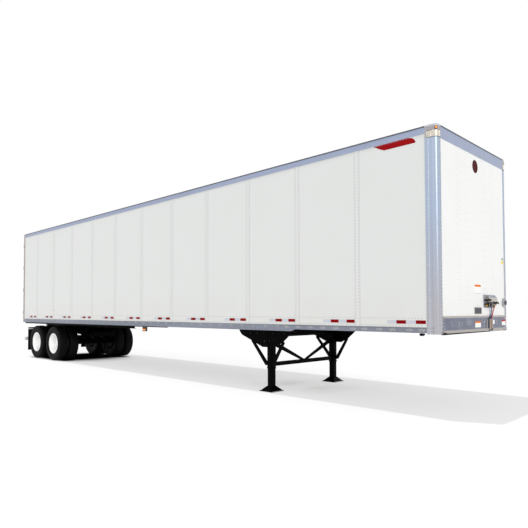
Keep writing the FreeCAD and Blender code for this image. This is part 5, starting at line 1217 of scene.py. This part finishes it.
def door_details():
    """On each leaf: edge seals, rivets, bolts along the straps, rod guides, handle catch, hook and tape."""
    for side, sign in (("left", 1), ("right", -1)):
        seals, metal, tape = Shape(), Shape(), Shape()
        leaf_low, leaf_high = low(f"rear_door_{side}"), high(f"rear_door_{side}")
        foot, head, face, front = leaf_low.z, leaf_high.z, leaf_low.x, leaf_high.x
        inner, outer = sorted((abs(leaf_low.y), abs(leaf_high.y)))
        for y, shift in ((inner, 0.01), (outer, -0.01)):
            seals.block((face - 0.004, sign * y, foot + 0.002),
                        (face + 0.002, sign * (y + shift), head - 0.002))
            seals.block((front - 0.006, sign * (y + 0.6 * shift), foot + 0.01),
                        (front + 0.003, sign * (y + 1.8 * shift), head - 0.01))
        for z, shift in ((foot, 0.012), (head, -0.012)):
            seals.block((face - 0.004, sign * inner, z), (face + 0.002, sign * outer, z + shift))
        hinge_bolts = [sign * y for y in steps(outer - 0.035, outer - 0.175, 0.035)]
        each(metal.bolt, face - 0.014, hinge_bolts, HINGES, BACK, DOOR_BOLT)
        for z in (1.435, 2.6275, 3.83):
            guide_bolts = (sign * (ROD_Y - 0.048), sign * (ROD_Y + 0.048))
            each(metal.bolt, face - 0.006, guide_bolts, z, BACK, DOOR_BOLT)
            metal.block((face - 0.0065, sign * (ROD_Y - 0.066), z - 0.02),
                        (face + 0.0005, sign * (ROD_Y + 0.066), z + 0.02))
        metal.block((face - 0.01, sign * 0.66, 1.545), (face + 0.001, sign * 0.79, 1.6), 0.003)
        metal.block((face - 0.026, sign * 0.685, 1.548), (face - 0.008, sign * 0.7, 1.598))
        each(metal.bolt, face - 0.01, (sign * 0.672, sign * 0.776), 1.572, BACK, 0.008)
        hook = Vector((face - 0.004, sign * (outer - 0.13), 1.9))
        metal.disc(hook, BACK, 0.02, 0.006, 0.001, 18)
        metal.tube([hook, hook + Vector((-0.03, 0, 0)), hook + Vector((-0.034, 0, 0.035))], 0.006)
        for z in (foot + 0.05, head - 0.05):
            metal.rivets((face, sign * (inner + 0.05), z), BACK, 3 * RIVET_PITCH, y=sign * (outer - 0.05))
        for i, y in enumerate(steps(inner + 0.03, outer - 0.03, TAPE_BLOCK)[:-1]):
            tape.block((face + 0.0004, sign * y, foot + 0.075),
                       (face - 0.0008, sign * (y + 0.1525), foot + 0.122), 0.0002, i % 2)
        body = f"door_{side}"
        piece(f"door_seals_{side}", "door_plate", seals, SEAL_BLACK, body=body)
        piece(f"door_fittings_{side}", "bright_steel", metal, BRIGHT_STEEL, body=body)
        piece(f"door_tape_{side}", "door_plate", tape, TAPE_RED, TAPE_WHITE, body=body)


def rear_frame_details():
    """Lamps, tape, bolts, rivets, number plate holder with its lamp, the guard's tape, and pale skins on its
    ends as painted light.
    """
    dark, lenses, tape, metal = Shape(), Shape(), Shape(), Shape()
    face, lamp_face = low("rear_frame").x + 0.04, low("tail_lamps").x
    guard_low, guard_high = low("impact_guard"), high("impact_guard")
    for y in (0.7, 0.84, 0.98):
        dark.ring((lamp_face + 0.0135, y, TAIL_LAMP_Z), BACK, 0.052, 0.058, 0.009, 0.002, 40)
        lenses.ring((lamp_face, y, TAIL_LAMP_Z), BACK, 0.034, 0.047, 0.0018, 0.0006, 36)
        lenses.lathe((lamp_face, y, TAIL_LAMP_Z), BACK,
                     [(0, 0), (0, 0.031), (0.002, 0.029), (0.0035, 0.0)], 32)
    for y in (1.262, 1.11):
        tape.block((face + 0.0006, y, 4.0), (face - 0.001, y - 0.15, 4.022), 0.0002, 1)
    for i in range(8):
        y = 0.008 + 0.152 * i
        tape.block((guard_low.x + 0.0004, y, guard_low.z + 0.032),
                   (guard_low.x - 0.001, y + 0.1515, guard_low.z + 0.08), 0.0002, i % 2)
    # Pale skins over the guard's end and the front face near it: painted light, so the end reads sunlit.
    for start, end, inset in ((guard_low.x + 0.003, guard_high.x - 0.003, 0.001),
                              (guard_high.x - 0.001, guard_high.x + 0.003, 0.18)):
        metal.block((start, guard_high.y - inset, guard_low.z + 0.003),
                    (end, guard_high.y + 0.003, guard_low.z + 0.102), 0.002, 1)
    for shape in (dark, lenses, tape, metal):
        shape.both()
    each(metal.bolt, face, mirrored(0.3, 0.56), (1.175, 1.265), BACK, 0.01)
    each(metal.dome, face, mirrored(1.268), steps(1.36, 3.94, 0.2), BACK, 0.007, 0.003)
    each(metal.bolt, guard_low.x + 0.0006, mirrored(0.44, 0.5), (1.09, 1.03), BACK, 0.011)
    for y in (-0.16, 0.0, 0.16, -1.16, 1.16):
        dark.disc((face, y, HEADER_LAMP_Z), BACK, 0.036, 0.009, 0.003, 28, 0.005)
        lenses.lathe((face - 0.006, y, HEADER_LAMP_Z), BACK,
                     [(0, 0), (0, 0.03), (0.008, 0.028), (0.013, 0.017), (0.0145, 0)], 28)
    metal.block((face - 0.004, -0.165, 1.172), (face + 0.001, 0.165, 1.288), 0.003)
    each(metal.disc, face - 0.004, (-0.12, 0.12), 1.275, BACK, 0.006, 0.004, 0.001, 12)
    tape.block((face - 0.0035, -0.15, 1.18), (face - 0.0062, 0.15, 1.268), 0.0008, 2)
    dark.block((face - 0.018, -0.06, 1.29), (face + 0.001, 0.06, 1.302), 0.003)
    lenses.block((face - 0.01, -0.035, 1.2925), (face - 0.019, 0.035, 1.2995), 0.001, 1)
    piece("rear_rubber", "black_plastic", dark, SEAL_BLACK)
    piece("rear_lenses", "red_lens", lenses, RED_LENS, LENS_CLEAR)
    piece("rear_tape", "galvanised_frame", tape, TAPE_RED, TAPE_WHITE, LABEL)
    piece("rear_fittings", "bright_steel", metal, BRIGHT_STEEL, PLASTIC_PALE)


def hold_details():
    """Inside the hold: seam covers with rivets, scuff plates along the foot of the walls, floor screws."""
    covers, scuff, screws = Shape(), Shape(), Shape()
    inner, back = WALL - 0.0122, low("floor").x
    for seam in SEAMS:
        covers.block((seam - 0.03, inner + 0.0003, FLOOR_TOP + 0.31), (seam + 0.03, inner - 0.0016, 4.0),
                     0.0006)
        for x in (seam - 0.02, seam + 0.02):
            covers.rivets((x, inner - 0.0016, FLOOR_TOP + 0.34), IN, 3 * RIVET_PITCH, slot=1, z=3.98)
    scuff.block((back + 0.03, inner + 0.0003, FLOOR_TOP + 0.004),
                (NOSE - 0.07, inner - 0.0022, FLOOR_TOP + 0.305), 0.0008)
    for z in (FLOOR_TOP + 0.03, FLOOR_TOP + 0.28):
        scuff.rivets((back + 0.06, inner - 0.0022, z), IN, 6 * RIVET_PITCH, x=NOSE - 0.09)
    for x in steps(back + 0.15, NOSE - 0.35, 2 * CROSSMEMBER_PITCH):
        each(screws.disc, (x - 0.012, x + 0.012), steps(-1.15, 1.15, 0.31), FLOOR_TOP - 0.0004, UP,
             0.006, 0.0009, 0.0003, 8)
    piece("hold_seam_covers", "wall_plate", covers.both(), SEAM_WHITE, RIVET_PAINTED)
    piece("hold_scuff_plates", "galvanised_frame", scuff.both(), GALVANISED)
    piece("floor_screws", "hardwood_floor", screws, STEEL_DARK)


for details in (wall_details, top_rail_details, bottom_rail_details, post_details, corner_castings,
                front_wall_rivets, front_sill_details, under_rail_details, roof_details, plates_and_labels,
                nose_connectors, line_channel_details, vent_details, holder_details,
                tyres, wheel_details, spring_clamps, tank_details, frame_bolts, landing_details,
                underside_details, marker_lamps, door_details, rear_frame_details, hold_details):
    details()


# ---- floor, light and camera -----------------------------------------------------------------------------

OVERHEAD, IN_FRONT = (-5.1, -2.4, 30.0), (37.0, -15.0, 17.0)


def seen_apart(nodes, plain, bright, share, into):
    """Links a plain shader, with a share of a bright one that only the camera, gloss and glass see."""
    rays = nodes.node("LightPath").outputs
    seen = nodes.maths("MAXIMUM", rays["Is Camera Ray"], rays["Is Glossy Ray"])
    seen = nodes.maths("MAXIMUM", seen, rays["Is Transmission Ray"])
    mixed = nodes.node("MixShader", {"Fac": nodes.maths("MULTIPLY", seen, share), 1: plain, 2: bright})
    nodes.node(into, {"Surface": mixed.outputs[0]})


def bare_nodes(owner):
    """The owner's shader tree, emptied."""
    owner.use_nodes = True
    owner.node_tree.nodes.clear()
    return Nodes(owner.node_tree)


def stage_floor():
    """Pale floor that looks white where it is lit, and keeps the trailer's shadow."""
    reach, corners = 90.0, ((-1, -1), (1, -1), (1, 1), (-1, 1))
    dark, bright = 0.34, 0.58           # share of open sky at which ground is black, and white
    glow = 0.64                         # share of the plain white that the camera sees
    mesh = bpy.data.meshes.new("studio_floor")
    mesh.from_pydata([(reach * x, reach * y, 0) for x, y in corners], [], [(0, 1, 2, 3)])
    floor = placed("studio_floor", mesh)
    material = bpy.data.materials.new("studio_floor")
    nodes = bare_nodes(material)
    nodes.coords = nodes.node("TexCoord").outputs["Object"]
    # Ground outside the wheels is open to the sun, so only ground under the trailer goes dark.
    near = nodes.node("AmbientOcclusion", {"Distance": 1.5}, samples=40).outputs["AO"]
    beside = nodes.ramp(nodes.maths("ABSOLUTE", nodes.axis(1)), HALF - 0.25, HALF + 0.05)
    open_ground = nodes.maths("MAXIMUM", nodes.ramp(near, dark, bright), beside)
    shaders = []
    for kind, level in (("BsdfDiffuse", 0.8), ("Emission", 1.0)):
        shade = nodes.mix(open_ground, (0, 0, 0, 1), (level, level, level, 1))
        shaders.append(nodes.node(kind, {"Color": shade}).outputs[0])
    seen_apart(nodes, *shaders, glow, "OutputMaterial")
    mesh.materials.append(material)


def sky():
    """White behind everything the camera sees; softer where it only lights."""
    world = bpy.data.worlds.new("studio")
    bpy.context.scene.world = world
    nodes = bare_nodes(world)
    skies = [nodes.node("Background", {"Color": colour, "Strength": strength}).outputs[0]
             for colour, strength in (((0.97, 0.985, 1.0, 1), 0.55), ((1, 1, 1, 1), 1.0))]
    seen_apart(nodes, *skies, 1.0, "OutputWorld")


def sun(name, place, strength, spread):
    """A sun that shines from a place towards the origin."""
    light = bpy.data.lights.new(name, "SUN")
    light.energy, light.angle = strength, spread
    made = placed(name, light)
    made.location, made.rotation_mode = place, "QUATERNION"
    made.rotation_quaternion = (-Vector(place)).to_track_quat("-Z", "Y")
    return made


def camera():
    """The photograph's viewpoint, from a perspective fit of corners, seams, feet and wheels."""
    focus, width = 516.8516, 528        # focal length and picture width, in the same unit
    yaw, pitch, roll = radians(135.317), 0.0325, -0.0014
    data = bpy.data.cameras.new("camera")
    data.sensor_width, data.lens = 36.0, focus * 36.0 / width
    data.shift_x, data.shift_y = 0.02481, 0.05832
    data.clip_end = 400.0
    made = placed("camera", data)
    heading = Vector((cos(yaw) * cos(pitch), sin(yaw) * cos(pitch), sin(pitch)))
    made.location, made.rotation_mode = (10.5278, -8.1245, 1.4921), "QUATERNION"
    made.rotation_quaternion = heading.to_track_quat("-Z", "Y") @ Quaternion((0, 0, 1), roll)
    bpy.context.scene.camera = made


stage_floor()
sky()
sun("top_sun", OVERHEAD, 2.1, 0.01)
sun("front_sun", IN_FRONT, 1.38, 0.5).visible_glossy = False
sun("sheen_sun", IN_FRONT, 0.42, 0.5).visible_diffuse = False
camera()
bpy.context.scene.view_settings.view_transform = "Standard"
